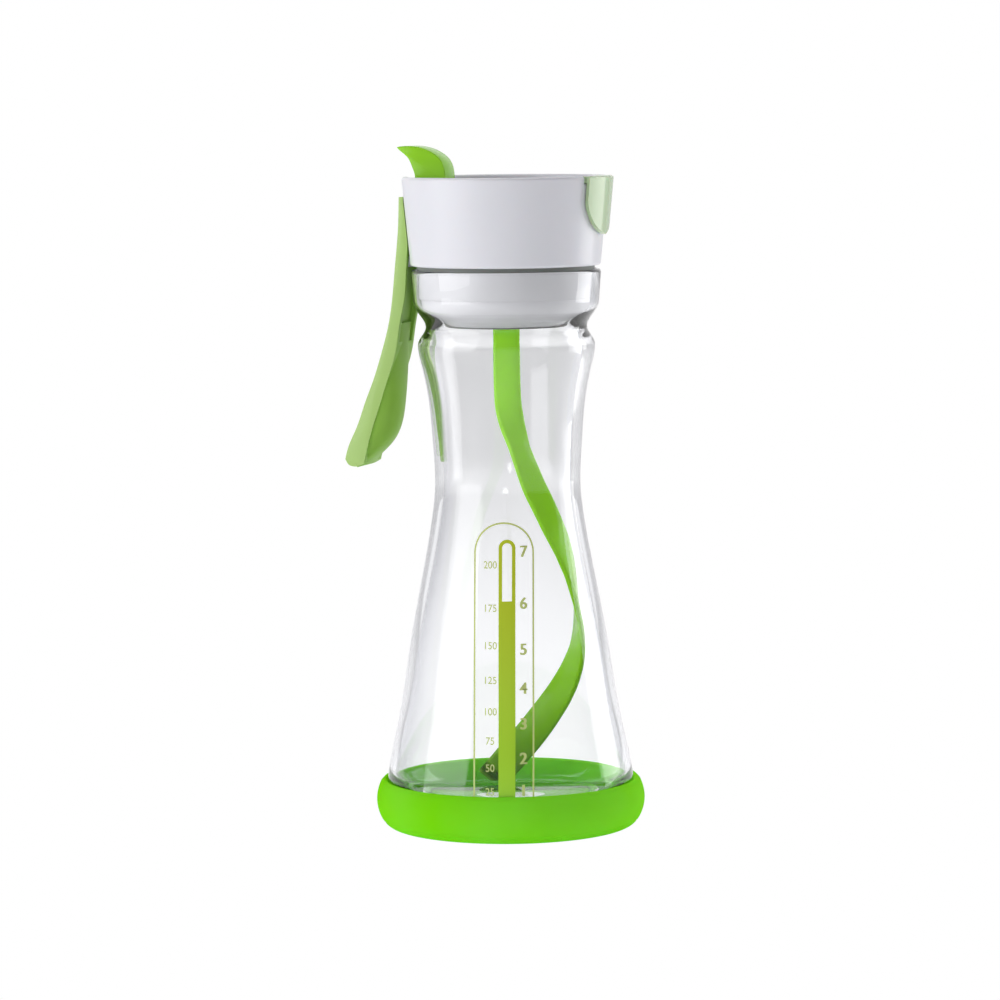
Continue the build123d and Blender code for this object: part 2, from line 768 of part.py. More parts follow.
# Drive rack: teeth on one side, a slotted end for the trigger's peg, and a round tail for the spring
rack_pitch = pi * gear_module
rack_tip_y = pitch_line_y - gear_module * (1 - shift_share)
rack_left_x = peg_x + rack_end_w / 2
rack_right_x = right_hanger_x - hanger_w / 2 - slide_clear
tail_l = duct_x - duct_r - tail_room - rack_right_x
half_tip = pi * gear_module / 4 - gear_module * tan(radians(pressure_deg)) - gear_backlash / 2
half_root = half_tip + (rack_root_y - rack_tip_y) * tan(radians(pressure_deg))
with BuildPart() as drive_rack:
    with BuildSketch(Plane.XY.offset(rack_low_z)):
        with Locations(((rack_left_x + rack_right_x) / 2, rack_mid_y)):
            Rectangle(rack_right_x - rack_left_x, rack_t)
        for number in range(rack_teeth):
            tooth_x = idler_x + (number - (rack_teeth - 1) / 2) * rack_pitch
            Polygon(
                (tooth_x - half_root, rack_root_y),
                (tooth_x - half_tip, rack_tip_y),
                (tooth_x + half_tip, rack_tip_y),
                (tooth_x + half_root, rack_root_y),
                align=None,
            )
    extrude(amount=rack_height)
    block(
        (peg_x - rack_end_w / 2, rack_root_y, rack_low_z - rack_end_rise),
        (rack_left_x, rack_back_y, rack_top_z + rack_end_rise),
    )
    block(
        (peg_x - peg_r - slide_clear, rack_root_y, rack_z - peg_r - slide_clear),
        (peg_x + peg_r + slide_clear, rack_back_y, rack_z + peg_r + finger_swing + slide_clear),
        mode=Mode.SUBTRACT,
    )
    rod((rack_right_x + tail_l / 2, rack_mid_y, rack_z), tail_r, tail_l, "X")
    rod((rack_right_x + tail_l - tail_r / 2, rack_mid_y, rack_z), tail_head_r, tail_r, "X")
drive_rack.part.label = "drive_rack"
export_step(drive_rack.part, "parts/drive_rack.step")


def coil(radius, height, turns):
    """Coil spring along +Z, from zero to its height."""
    with BuildPart() as spring:
        with BuildLine():
            Helix(
                pitch=(height - 2 * spring_wire_r) / turns,
                height=height - 2 * spring_wire_r,
                radius=radius,
            )
        with BuildSketch(Plane(origin=(radius, 0, 0), z_dir=(0, 1, 0))):
            RegularPolygon(spring_wire_r, spring_sides)
        sweep(is_frenet=True)
    return Pos(0, 0, spring_wire_r) * spring.part


# Trigger spring, round the rack's tail, and rocker spring, in the well under the thumb hook
spring_start_x = right_hanger_x + hanger_w / 2
spring_end_x = rack_right_x + tail_l - tail_r
trigger_spring = Pos(spring_start_x, rack_mid_y, rack_z) * Rot(0, 90, 0) * coil(
    trigger_coil_r, spring_end_x - spring_start_x, trigger_coils
)
trigger_spring.label = "trigger_spring"
export_step(trigger_spring, "parts/trigger_spring.step")
rocker_spring = Pos(rocker_spring_x, 0, well_low_z) * coil(
    rocker_coil_r, bar_low_z - well_low_z, rocker_coils
)
rocker_spring.label = "rocker_spring"
export_step(rocker_spring, "parts/rocker_spring.step")

# Paddle gear, on the shaft above the upper bush
with BuildPart() as paddle_gear:
    with BuildSketch(Plane.XY.offset(gear_z)):
        Polygon(
            *gear_outline(pinion_teeth, shift_share, mesh_deg + 180 + 180 / pinion_teeth), align=None
        )
        Circle(shaft_r - shaft_step, mode=Mode.SUBTRACT)
    extrude(amount=wheel_t)
paddle_gear.part.label = "paddle_gear"
export_step(paddle_gear.part, "parts/paddle_gear.step")

# Paddle shaft: stepped down at the gear, with a groove for the clip
gear_top_z = gear_z + wheel_t
with BuildPart() as paddle_shaft:
    with BuildSketch(Plane.XY.offset(hub_top_z - hub_h + hub_floor)):
        Circle(shaft_r)
    extrude(amount=gear_z - hub_top_z + hub_h - hub_floor - running_clear)
    with BuildSketch(Plane.XY.offset(gear_z - running_clear)):
        Circle(shaft_r - shaft_step - fit_clear)
    extrude(amount=gear_top_z - gear_z + 3 * clip_t / 2 + running_clear)
    with BuildSketch(Plane.XY.offset(gear_top_z)):
        Circle(shaft_r)
        Circle(shaft_r - shaft_step - clip_t / 2, mode=Mode.SUBTRACT)
    extrude(amount=clip_t, mode=Mode.SUBTRACT)
paddle_shaft.part.label = "paddle_shaft"
export_step(paddle_shaft.part, "parts/paddle_shaft.step")

# Shaft clip: an open ring in the groove
with BuildPart() as shaft_clip:
    with BuildSketch(Plane.XY.offset(gear_top_z + fit_clear)):
        Circle(shaft_r - shaft_step + clip_w)
        Circle(shaft_r - shaft_step - clip_t / 2 + fit_clear, mode=Mode.SUBTRACT)
        with Locations((shaft_r, 0)):
            Rectangle(2 * shaft_r, shaft_r, mode=Mode.SUBTRACT)
    extrude(amount=clip_t - 2 * fit_clear)
shaft_clip.part.label = "shaft_clip"
export_step(shaft_clip.part, "parts/shaft_clip.step")

# Mixing paddle: hub and ribbon. Each station gives, on the way down, the share of the drop, the
# share of the room inside the glass, the bearing of the ribbon's middle, the bearing that its face
# looks along, and the share of the way from the top width to the low width
paddle_stations = (
    (0.000, 0.000, -60, -72, 0.0),
    (0.090, 0.000, -60, -72, 0.0),
    (0.156, 0.056, -60, -70, 0.0),
    (0.200, 0.241, -54, -52, 0.0),
    (0.245, 0.460, -49, -30, 0.0),
    (0.286, 0.620, -44, -33, 0.0),
    (0.328, 0.720, -38, -38, 0.0),
    (0.374, 0.803, -29, -32, 0.1),
    (0.414, 0.829, -21, -24, 0.2),
    (0.456, 0.827, -8, -12, 0.4),
    (0.499, 0.825, 6, -3, 0.6),
    (0.542, 0.835, 12, 6, 0.8),
    (0.584, 0.839, 18, 17, 0.95),
    (0.628, 0.849, 26, 26, 1.0),
    (0.673, 0.845, 35, 35, 1.0),
    (0.713, 0.817, 44, 44, 1.0),
    (0.757, 0.788, 55, 55, 1.0),
    (0.802, 0.749, 67, 67, 1.0),
    (0.842, 0.722, 79, 79, 1.0),
    (0.886, 0.703, 93, 93, 1.0),
    (0.931, 0.691, 107, 107, 1.0),
    (0.971, 0.699, 119, 119, 1.0),
    (1.010, 0.709, 131, 131, 1.0),
)
paddle_drop = hub_top_z - hub_h / 2 - paddle_low_z
glass_line = [(foot_r, foot_z), *flank, (waist_r, waist_z), *neck, (bulge_r, bulge_z)]


def paddle_room(z):
    """Largest radius that the ribbon's middle may have at a height."""
    for (low_r, low_z), (high_r, high_z) in zip(glass_line, glass_line[1:]):
        if z <= high_z:
            share = max(0, (z - low_z) / (high_z - low_z))
            return between(low_r, high_r, share) - glass_wall - paddle_gap
    return bulge_r - glass_wall - paddle_gap


def station_point(station):
    """Middle of the ribbon at a station."""
    drop, out, bearing = station[:3]
    z = hub_top_z - hub_h / 2 - paddle_drop * drop
    radius = paddle_room(z) * out
    return Vector(radius * cos(radians(bearing)), radius * sin(radians(bearing)), z)


ribbon_path = [station_point(station) for station in paddle_stations]
ribbon_planes = []
for number, station in enumerate(paddle_stations):
    before = ribbon_path[max(number - 1, 0)]
    after = ribbon_path[min(number + 1, len(ribbon_path) - 1)]
    down = (after - before).normalized()
    bearing = radians(station[3])
    facing = Vector(cos(bearing), sin(bearing), 0)
    facing = (facing - down * facing.dot(down)).normalized()
    ribbon_planes.append(Plane(origin=ribbon_path[number], x_dir=down.cross(facing), z_dir=down))

stem_plane = ribbon_planes[1]
with BuildPart() as mixing_paddle:
    for plane, station in zip(ribbon_planes[1:], paddle_stations[1:]):
        with BuildSketch(plane):
            Rectangle(between(paddle_top_w, paddle_low_w, station[4]), paddle_t)
    loft(ruled=True)
    block(
        (-foot_r, -foot_r, paddle_low_z - paddle_low_w),
        (foot_r, foot_r, paddle_low_z),
        mode=Mode.SUBTRACT,
    )
    with BuildSketch(stem_plane):
        Rectangle(paddle_top_w, paddle_t)
    extrude(amount=stem_plane.origin.Z - hub_top_z + hub_h / 2)
    with BuildSketch(Plane.XY.offset(hub_top_z - hub_h)):
        Circle(hub_r)
    extrude(amount=hub_h)
    with BuildSketch(Plane.XY.offset(hub_top_z - hub_h + hub_floor)):
        Circle(shaft_r + fit_clear)
    extrude(amount=hub_h, mode=Mode.SUBTRACT)
mixing_paddle.part.label = "mixing_paddle"
export_step(mixing_paddle.part, "parts/mixing_paddle.step")

# Trigger: a long leaf over the lid's wall, with side walls that deepen to a hull beside the waist.
# Each pair is the share of the trigger's outward reach from its pin, and of its drop below the pin
outer_shares = (
    (0.075, -0.314),
    (0.080, -0.171),
    (0.130, 0.000),
    (0.165, 0.109),
    (0.249, 0.295),
    (0.393, 0.459),
    (0.517, 0.575),
    (0.667, 0.692),
    (0.806, 0.809),
    (0.965, 0.920),
    (1.000, 0.964),
)
tip_shares = ((1.000, 0.964), (0.950, 0.990), (0.860, 1.000), (0.770, 0.997), (0.690, 0.983))
hull_shares = (
    (0.690, 0.983),
    (0.547, 0.943),
    (0.400, 0.900),
    (0.275, 0.845),
    (0.185, 0.762),
    (0.140, 0.645),
    (0.120, 0.513),
    (0.114, 0.404),
    (0.098, 0.300),
)
strap_shares = (
    (0.690, 0.983),
    (0.600, 0.900),
    (0.507, 0.809),
    (0.378, 0.692),
    (0.249, 0.575),
    (0.124, 0.459),
    (0.038, 0.295),
    (-0.012, 0.171),
    (-0.050, 0.020),
)


def trigger_points(shares, inward=0.0):
    """Points of the trigger's side outline in X and Z, moved towards the bottle by an amount."""
    return [
        (pivot_x - trigger_out * out + inward, pivot_z - trigger_reach * drop) for out, drop in shares
    ]


strap_top = trigger_points(strap_shares)[-1]
outer_top = trigger_points(outer_shares)[0]
with BuildPart() as hull:
    with BuildSketch(Plane.XZ):
        with BuildLine():
            Spline(*trigger_points(outer_shares[4:], trigger_wall / 2))
            Line(
                trigger_points(outer_shares, trigger_wall / 2)[-1], trigger_points(tip_shares)[-2]
            )
            Line(trigger_points(tip_shares)[-2], trigger_points(hull_shares)[0])
            Spline(*trigger_points(hull_shares))
            Line(trigger_points(hull_shares)[-1], trigger_points(outer_shares, trigger_wall / 2)[4])
        make_face()
    extrude(amount=trigger_w / 2 - hull_step, both=True)
    fillet(edges().filter_by(GeomType.BSPLINE).sort_by(Axis.X)[-2:], hull_edge_r)
with BuildPart() as trigger_lever:
    # leaf at full width
    with BuildSketch(Plane.XZ):
        with BuildLine():
            Spline(*trigger_points(outer_shares))
            Spline(*trigger_points(tip_shares))
            Spline(*trigger_points(strap_shares))
            Line(strap_top, (-lid_low_r + lid_wall, outer_top[1]))
            Line((-lid_low_r + lid_wall, outer_top[1]), outer_top)
        make_face()
    extrude(amount=trigger_w / 2, both=True)
    add(hull.part)
    # channel behind the lid's lug, which opens towards the bottle
    with BuildSketch(Plane.XZ):
        with BuildLine():
            Spline(*trigger_points(channel_shares, trigger_wall))
            Line(
                trigger_points(channel_shares, trigger_wall)[-1],
                trigger_points(channel_shares, 2 * trigger_out)[-1],
            )
            Line(
                trigger_points(channel_shares, 2 * trigger_out)[-1],
                (pivot_x + 2 * trigger_out, pivot_z + channel_rise),
            )
            Line(
                (pivot_x + 2 * trigger_out, pivot_z + channel_rise),
                trigger_points(channel_shares, trigger_wall)[0],
            )
        make_face()
    extrude(amount=trigger_w / 2 - trigger_wall, both=True, mode=Mode.SUBTRACT)
    # room for the lid's lug
    rod(
        (pivot_x, 0, pivot_z),
        lug_r + 2 * slide_clear,
        trigger_w - 2 * trigger_wall,
        "Y",
        mode=Mode.SUBTRACT,
    )
    # the wedge that lies along the lid
    lid_cone(moving_clear, pivot_z + lug_r + moving_clear, lid_top_z, mode=Mode.SUBTRACT)
    # finger and peg
    block(
        (pivot_x - trigger_wall / 2, -finger_t / 2, rack_z - finger_h / 2),
        (peg_x + peg_r, finger_t / 2, rack_z + finger_h / 2),
    )
    rod((peg_x, (rack_root_y + finger_t / 2) / 2, rack_z), peg_r, finger_t / 2 - rack_root_y, "Y")
    rod((pivot_x, 0, pivot_z), trigger_pin_r + running_clear, 2 * trigger_w, "Y", mode=Mode.SUBTRACT)
trigger_lever.part.label = "trigger_lever"
export_step(trigger_lever.part, "parts/trigger_lever.step")

# Pins
with BuildPart() as trigger_pin:
    rod((pivot_x, 0, pivot_z), trigger_pin_r - fit_clear, trigger_w - 2 * fit_clear, "Y")
trigger_pin.part.label = "trigger_pin"
export_step(trigger_pin.part, "parts/trigger_pin.step")
with BuildPart() as rocker_pin:
    rod(
        (rocker_pin_x, 0, rocker_pin_z),
        rocker_pin_r - fit_clear,
        rocker_w + 2 * (moving_clear + trough_wall),
        "Y",
    )
rocker_pin.part.label = "rocker_pin"
export_step(rocker_pin.part, "parts/rocker_pin.step")

# Pouring rocker: thumb hook at the back, bar, and the tongue over the spout
hook_back_shares = ((1.150, 0.98), (1.079, 0.64), (1.035, 0.35), (1.0, 0.0))
hook_front_shares = ((0.640, 0.0), (0.680, 0.48), (0.785, 0.77), (0.950, 0.96), (1.110, 1.0))


def hook_points(shares):
    """Points of the thumb hook's side outline in X and Z."""
    return [(-hook_back * back, lid_top_z + hook_rise * rise) for back, rise in shares]


tip = (-hook_back * hook_tip_share, lid_top_z + hook_rise * hook_tip_rise_share)
with BuildPart() as pour_rocker:
    with BuildSketch(Plane.XY.offset(bar_low_z)):
        Polygon(*bar_outline(0), align=None)
        Circle(lid_top_r + tongue_proud, mode=Mode.INTERSECT)
    extrude(amount=rocker_t)
    with BuildSketch(Plane.XZ):
        with BuildLine():
            Spline(*hook_points(hook_front_shares), tip)
            Spline(tip, *hook_points(hook_back_shares))
            Line(hook_points(hook_back_shares)[-1], (-hook_back, bar_low_z))
            Line((-hook_back, bar_low_z), (hook_points(hook_front_shares)[0][0], bar_low_z))
            Line((hook_points(hook_front_shares)[0][0], bar_low_z), hook_points(hook_front_shares)[0])
        make_face()
    extrude(amount=rocker_w / 2, both=True)
    rod((rocker_pin_x, 0, rocker_pin_z), rocker_boss_r, rocker_w, "Y")
    rod(
        (rocker_pin_x, 0, rocker_pin_z),
        rocker_pin_r + running_clear,
        2 * rocker_w,
        "Y",
        mode=Mode.SUBTRACT,
    )
nose = [(tongue_half_w * side, lid_top_z - tongue_drop * drop) for side, drop in nose_shares]
with BuildPart() as tongue:
    with BuildSketch(Plane.YZ):
        with BuildLine():
            Line((tongue_half_w, bar_low_z), nose[0])
            Spline(*nose)
            mirror(about=Plane.YZ)
            Line((tongue_half_w, bar_low_z), (-tongue_half_w, bar_low_z))
        make_face()
    extrude(amount=2 * lid_top_r)
    lid_cone(tongue_proud, lid_z, lid_top_z + overrun, mode=Mode.INTERSECT)
    lid_cone(lid_gap, lid_z, lid_top_z + overrun, mode=Mode.SUBTRACT)
    rod((0, 0, duct_exit_z), seal_pad_r + fit_clear, 2 * pad_face_x, "X", mode=Mode.SUBTRACT)
rocker_solid = pour_rocker.part + tongue.part
rocker_solid.label = "pour_rocker"
export_step(rocker_solid, "parts/pour_rocker.step")

# Spout seal: the soft pad inside the tongue
with BuildPart() as spout_seal:
    with BuildSketch(Plane.YZ):
        with Locations((0, duct_exit_z)):
            Circle(seal_pad_r)
    extrude(amount=pad_face_x - fit_clear)
    lid_cone(lid_gap - fit_clear, lid_z, lid_top_z, mode=Mode.SUBTRACT)
spout_seal.part.label = "spout_seal"
export_step(spout_seal.part, "parts/spout_seal.step")
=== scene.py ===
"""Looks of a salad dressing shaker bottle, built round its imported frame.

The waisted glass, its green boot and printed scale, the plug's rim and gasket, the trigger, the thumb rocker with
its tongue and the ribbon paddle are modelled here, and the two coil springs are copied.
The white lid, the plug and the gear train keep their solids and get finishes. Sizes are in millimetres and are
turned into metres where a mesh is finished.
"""

import json
import logging
from collections.abc import Iterable, Sequence
from dataclasses import dataclass, field
from enum import Enum
from math import cos, pi, radians, sin

import bmesh
import bpy
import numpy as np
from mathutils import Matrix, Vector

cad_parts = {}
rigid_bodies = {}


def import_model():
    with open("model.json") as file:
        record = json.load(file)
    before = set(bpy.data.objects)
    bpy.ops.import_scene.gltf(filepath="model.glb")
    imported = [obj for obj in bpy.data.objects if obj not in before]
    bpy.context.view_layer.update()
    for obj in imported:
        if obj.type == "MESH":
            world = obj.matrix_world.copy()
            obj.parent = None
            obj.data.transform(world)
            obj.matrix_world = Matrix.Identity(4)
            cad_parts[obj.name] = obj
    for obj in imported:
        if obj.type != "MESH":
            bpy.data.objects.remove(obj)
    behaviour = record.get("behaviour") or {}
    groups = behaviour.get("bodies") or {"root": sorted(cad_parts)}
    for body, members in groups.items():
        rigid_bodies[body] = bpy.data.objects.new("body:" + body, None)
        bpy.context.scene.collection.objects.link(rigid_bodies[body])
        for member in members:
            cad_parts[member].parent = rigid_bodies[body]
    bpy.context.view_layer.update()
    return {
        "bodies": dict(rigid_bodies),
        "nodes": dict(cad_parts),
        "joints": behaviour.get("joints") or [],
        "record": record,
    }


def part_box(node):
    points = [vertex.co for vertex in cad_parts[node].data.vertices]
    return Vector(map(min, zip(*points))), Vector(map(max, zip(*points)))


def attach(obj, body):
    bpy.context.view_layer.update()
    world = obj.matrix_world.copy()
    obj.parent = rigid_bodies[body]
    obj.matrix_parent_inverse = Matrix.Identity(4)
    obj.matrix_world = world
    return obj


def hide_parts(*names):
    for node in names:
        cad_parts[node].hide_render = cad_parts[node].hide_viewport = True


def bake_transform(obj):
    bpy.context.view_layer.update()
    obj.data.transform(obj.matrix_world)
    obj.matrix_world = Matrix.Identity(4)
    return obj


log = logging.getLogger("shaker_bottle")

MM = 0.001
Pair = tuple[float, float]
Triple = tuple[float, float, float]
Form = bmesh.types.BMesh
Piece = bpy.types.Object
Material = bpy.types.Material
Socket = bpy.types.NodeSocket


class Body(str, Enum):
    """Bodies of the frame that the scene's own pieces move with."""

    BOTTLE = "bottle"
    LID = "lid"
    TRIGGER = "trigger"
    RACK = "rack"
    PADDLE = "paddle"
    ROCKER = "rocker"


class Slot(str, Enum):
    """Material slots of the record."""

    GLASS = "clear_glass"
    BOOT = "lime_rubber"
    LIME = "lime_plastic"
    WHITE = "white_plastic"
    GEARS = "gear_plastic"
    SEALS = "seal_rubber"
    STEEL = "steel_parts"


# ---------------------------------------------------------------- finishes


@dataclass(frozen=True)
class Shader:
    """A node tree under construction, with short calls for the nodes that the finishes share."""

    owner: bpy.types.ID

    @classmethod
    def start(cls, name: str) -> "Shader":
        """Make an empty node material.

        Args:
            name: the material's name.

        Returns:
            The shader that builds it.
        """
        material = bpy.data.materials.new(name)
        material.use_nodes = True
        material.node_tree.nodes.clear()
        return cls(material)

    def add(self, kind: str, **values: object) -> bpy.types.Node:
        """Add a node and set its properties, or its sockets where the name is a socket's.

        Args:
            kind: Blender's name of the node type.
            **values: properties in snake case, or sockets with spaces written as double underscores.

        Returns:
            The new node.
        """
        node = self.owner.node_tree.nodes.new(kind)
        for key, value in values.items():
            socket = key.replace("__", " ")
            if socket in node.inputs:
                node.inputs[socket].default_value = value
            else:
                setattr(node, key, value)
        return node

    def link(self, source: Socket, target: Socket) -> None:
        """Join two sockets."""
        self.owner.node_tree.links.new(source, target)

    def place(self) -> Socket:
        """Return the piece's own coordinates, in metres."""
        return self.add("ShaderNodeTexCoord").outputs["Object"]

    def noise(self, scale: float, detail: float = 3.0, roughness: float = 0.5) -> Socket:
        """Add soft noise.

        Args:
            scale: number of cells to a metre.
            detail: number of finer layers.
            roughness: strength of the finer layers.

        Returns:
            A socket from 0 to 1.
        """
        node = self.add("ShaderNodeTexNoise", Scale=scale, Detail=detail, Roughness=roughness)
        self.link(self.place(), node.inputs["Vector"])
        return node.outputs["Fac"]

    def ramp(self, factor: Socket, stops: Sequence[tuple[float, Triple]]) -> Socket:
        """Run through colours as a factor rises.

        Args:
            factor: a socket from 0 to 1.
            stops: factors, each with its colour.

        Returns:
            The colour.
        """
        node = self.add("ShaderNodeValToRGB")
        self.link(factor, node.inputs["Fac"])
        elements = node.color_ramp.elements
        while len(elements) < len(stops):
            elements.new(0.5)
        for element, (at, colour) in zip(elements, stops):
            element.position = at
            element.color = (*colour, 1.0)
        return node.outputs["Color"]

    def spread(self, factor: Socket, low: float, high: float) -> Socket:
        """Map a factor to another range.

        Args:
            factor: a socket from 0 to 1.
            low: the value for 0.
            high: the value for 1.

        Returns:
            The mapped value.
        """
        node = self.add("ShaderNodeMapRange", To__Min=low, To__Max=high)
        self.link(factor, node.inputs["Value"])
        return node.outputs["Result"]

    def rise(self, low_z: float, high_z: float) -> Socket:
        """Follow the height on the piece.

        Args:
            low_z: the height that gives 0, in millimetres.
            high_z: the height that gives 1, in millimetres.

        Returns:
            A socket from 0 to 1.
        """
        split = self.add("ShaderNodeSeparateXYZ")
        self.link(self.place(), split.inputs["Vector"])
        span = self.add("ShaderNodeMapRange", From__Min=low_z * MM, From__Max=high_z * MM)
        self.link(split.outputs["Z"], span.inputs["Value"])
        return span.outputs["Result"]

    def bump(self, height: Socket, strength: float, distance: float) -> Socket:
        """Make a surface normal that follows a height.

        Args:
            height: a socket from 0 to 1.
            strength: share of the bump that is shown.
            distance: height of the bump in metres.

        Returns:
            The normal.
        """
        node = self.add("ShaderNodeBump", Strength=strength, Distance=distance)
        self.link(height, node.inputs["Height"])
        return node.outputs["Normal"]

    def skin(
        self, colour: Socket, rough: Socket | None = None, normal: Socket | None = None, **values: object
    ) -> Socket:
        """Make a surface.

        Args:
            colour: its base colour.
            rough: its roughness, where that changes from place to place.
            normal: its normal, where it is bumpy.
            **values: its other sockets, named as for add.

        Returns:
            The surface.
        """
        node = self.add("ShaderNodeBsdfPrincipled", **values)
        for source, socket in ((colour, "Base Color"), (rough, "Roughness"), (normal, "Normal")):
            if source is not None:
                self.link(source, node.inputs[socket])
        return node.outputs["BSDF"]

    def mixed(self, first: Socket, second: Socket, share: float | Socket) -> Socket:
        """Mix two surfaces.

        Args:
            first: the surface that is seen where the share is 0.
            second: the surface that is seen where the share is 1.
            share: a number, or a socket from 0 to 1.

        Returns:
            The mixed surface.
        """
        node = self.add("ShaderNodeMixShader")
        if isinstance(share, float):
            node.inputs["Fac"].default_value = share
        else:
            self.link(share, node.inputs["Fac"])
        self.link(first, node.inputs[1])
        self.link(second, node.inputs[2])
        return node.outputs["Shader"]

    def let_through(self, surface: Socket, colour: Triple, share: float) -> Socket:
        """Return the surface with a share of the light let through from behind, in that colour."""
        glow = self.add("ShaderNodeBsdfTranslucent", Color=(*colour, 1.0))
        return self.mixed(surface, glow.outputs["BSDF"], share)

    def ray(self, kind: str) -> Socket:
        """Return 1 for rays of that kind and 0 for all others."""
        return self.add("ShaderNodeLightPath").outputs[kind]

    def finish(self, surface: Socket) -> Material:
        """Join the surface to the output and return the material."""
        self.link(surface, self.add("ShaderNodeOutputMaterial").inputs["Surface"])
        return self.owner


def lighter(colour: Triple, share: float) -> Triple:
    """Return the colour moved towards white by a share, or towards black where the share is negative."""
    end = 1.0 if share > 0 else 0.0
    return tuple(c + (end - c) * abs(share) for c in colour)


@dataclass(frozen=True)
class MouldedPlastic:
    """Injection-moulded plastic: a hint of depth, a soft gloss and the faint unevenness of the mould."""

    name: str
    colour: Triple
    roughness: float = 0.3
    coat: float = 0.2
    depth: float = 0.0
    variation: float = 0.05
    shine: float = 0.5
    see_through: float = 0.0
    deep: float = 0.0
    deep_z: Pair = (0.0, 100.0)
    cloud_cells: float = 38.0
    grain_cells: float = 2600.0

    def build(self) -> Material:
        """Make the material, darker towards its low end with painted shade where that share is set.

        Returns:
            The material.
        """
        s = Shader.start(self.name)
        cloud = s.noise(self.cloud_cells)
        # Painted shade: the colour darkens towards the low end, standing in for the shade low in the glass.
        if self.deep:
            colour = s.ramp(s.rise(*self.deep_z), ((0.0, lighter(self.colour, -self.deep)), (1.0, self.colour)))
        else:
            shades = ((at, lighter(self.colour, sign * self.variation)) for at, sign in ((0.25, -1), (0.75, 1)))
            colour = s.ramp(cloud, tuple(shades))
        skin = s.skin(
            colour,
            s.spread(cloud, self.roughness - 0.04, self.roughness + 0.06),
            s.bump(s.noise(self.grain_cells, detail=2.0), 0.05, 0.00005),
            Coat__Weight=self.coat,
            Coat__Roughness=0.08,
            Specular__IOR__Level=self.shine,
            Subsurface__Weight=self.depth,
            Subsurface__Scale=0.004,
            IOR=1.5,
        )
        return s.finish(s.let_through(skin, self.colour, self.see_through))


@dataclass(frozen=True)
class SoftRubber:
    """Soft moulded rubber with a satin skin."""

    name: str
    colour: Triple
    roughness: float = 0.5
    depth: float = 0.15
    shine: float = 0.5
    see_through: float = 0.0
    cloud_cells: float = 24.0
    grain_cells: float = 1500.0

    def build(self) -> Material:
        """Make the material.

        Returns:
            The material.
        """
        s = Shader.start(self.name)
        shades = ((0.3, lighter(self.colour, -0.06)), (0.7, lighter(self.colour, 0.05)))
        grain = s.noise(self.grain_cells, detail=4.0, roughness=0.6)
        skin = s.skin(
            s.ramp(s.noise(self.cloud_cells), shades),
            s.spread(grain, self.roughness - 0.06, self.roughness + 0.08),
            s.bump(grain, 0.12, 0.00008),
            Subsurface__Weight=self.depth,
            Subsurface__Scale=0.003,
            Specular__IOR__Level=self.shine,
        )
        return s.finish(s.let_through(skin, self.colour, self.see_through))


@dataclass(frozen=True)
class PressedGlass:
    """Clear pressed glass with the slow waves of a pressed wall, and painted shade that darkens it where it is seen
    edge on.
    """

    name: str
    face: Triple = (0.982, 0.985, 0.992)
    flank: Triple = (0.90, 0.905, 0.93)
    edge: Triple = (0.50, 0.51, 0.57)
    shadow: Triple = (0.93, 0.93, 0.94)
    wave_cells: float = 30.0
    wave_height: float = 0.0004

    def build(self) -> Material:
        """Make the material, which lets lamplight straight through.

        Returns:
            The material.
        """
        s = Shader.start(self.name)
        # Painted shade: the colour darkens from face to flank to edge as the glass turns edge on, standing in for dark
        # surroundings refracted there.
        facing = s.add("ShaderNodeLayerWeight", Blend=0.42).outputs["Facing"]
        skin = s.skin(
            s.ramp(facing, ((0.30, self.face), (0.50, self.flank), (0.95, self.edge))),
            normal=s.bump(s.noise(self.wave_cells, detail=1.0), 0.14, self.wave_height),
            Roughness=0.0,
            IOR=1.47,
            Transmission__Weight=1.0,
        )
        clear = s.add("ShaderNodeBsdfTransparent", Color=(*self.shadow, 1.0))
        return s.finish(s.mixed(skin, clear.outputs["BSDF"], s.ray("Is Shadow Ray")))


@dataclass(frozen=True)
class PrintedInk:
    """Screen-printed ink: nearly opaque, slightly rough, with tiny pinholes."""

    name: str
    low: Triple
    high: Triple
    low_z: float
    high_z: float
    grain_cells: float = 5000.0

    def build(self) -> Material:
        """Make the material, which runs from the low colour to the high one up the print.

        Returns:
            The material.
        """
        s = Shader.start(self.name)
        colour = s.ramp(s.rise(self.low_z, self.high_z), ((0.0, self.low), (1.0, self.high)))
        return s.finish(s.skin(colour, s.spread(s.noise(self.grain_cells), 0.35, 0.6)))


@dataclass(frozen=True)
class DrawnSteel:
    """Bright drawn steel with fine marks along its length."""

    name: str
    colour: Triple = (0.62, 0.62, 0.63)
    mark_cells: float = 3200.0

    def build(self) -> Material:
        """Make the material.

        Returns:
            The material.
        """
        s = Shader.start(self.name)
        marks = s.noise(self.mark_cells, detail=5.0, roughness=0.7)
        colour = s.ramp(marks, ((0.3, lighter(self.colour, -0.15)), (0.7, self.colour)))
        return s.finish(s.skin(colour, s.spread(marks, 0.22, 0.42), s.bump(marks, 0.1, 0.00003), Metallic=1.0))


GLASS = PressedGlass("pressed_glass")
BOOT = SoftRubber("boot_rubber", (0.265, 0.85, 0.0002), roughness=0.4, shine=0.0, see_through=0.3)
LIME = MouldedPlastic("lime_moulding", (0.34, 0.79, 0.001), roughness=0.2, shine=0.2, see_through=0.12)
# Painted shade: a darker, duller copy of the lime for the hull, which lies in the shade between the strap and the
# glass.
HULL_PAINTED_SHADE = MouldedPlastic(
    "hull_painted_shade", (0.27, 0.54, 0.05), roughness=0.42, coat=0.0, shine=0.2, see_through=0.1
)
# Painted reflection: a pale copy of the lime for the rocker's bar and tongue, standing in for the white room reflected
# in them.
ROCKER_PAINTED_SHEEN = MouldedPlastic("pale_lime_moulding", (0.44, 0.60, 0.33), roughness=0.25, coat=0.5, depth=0.1)
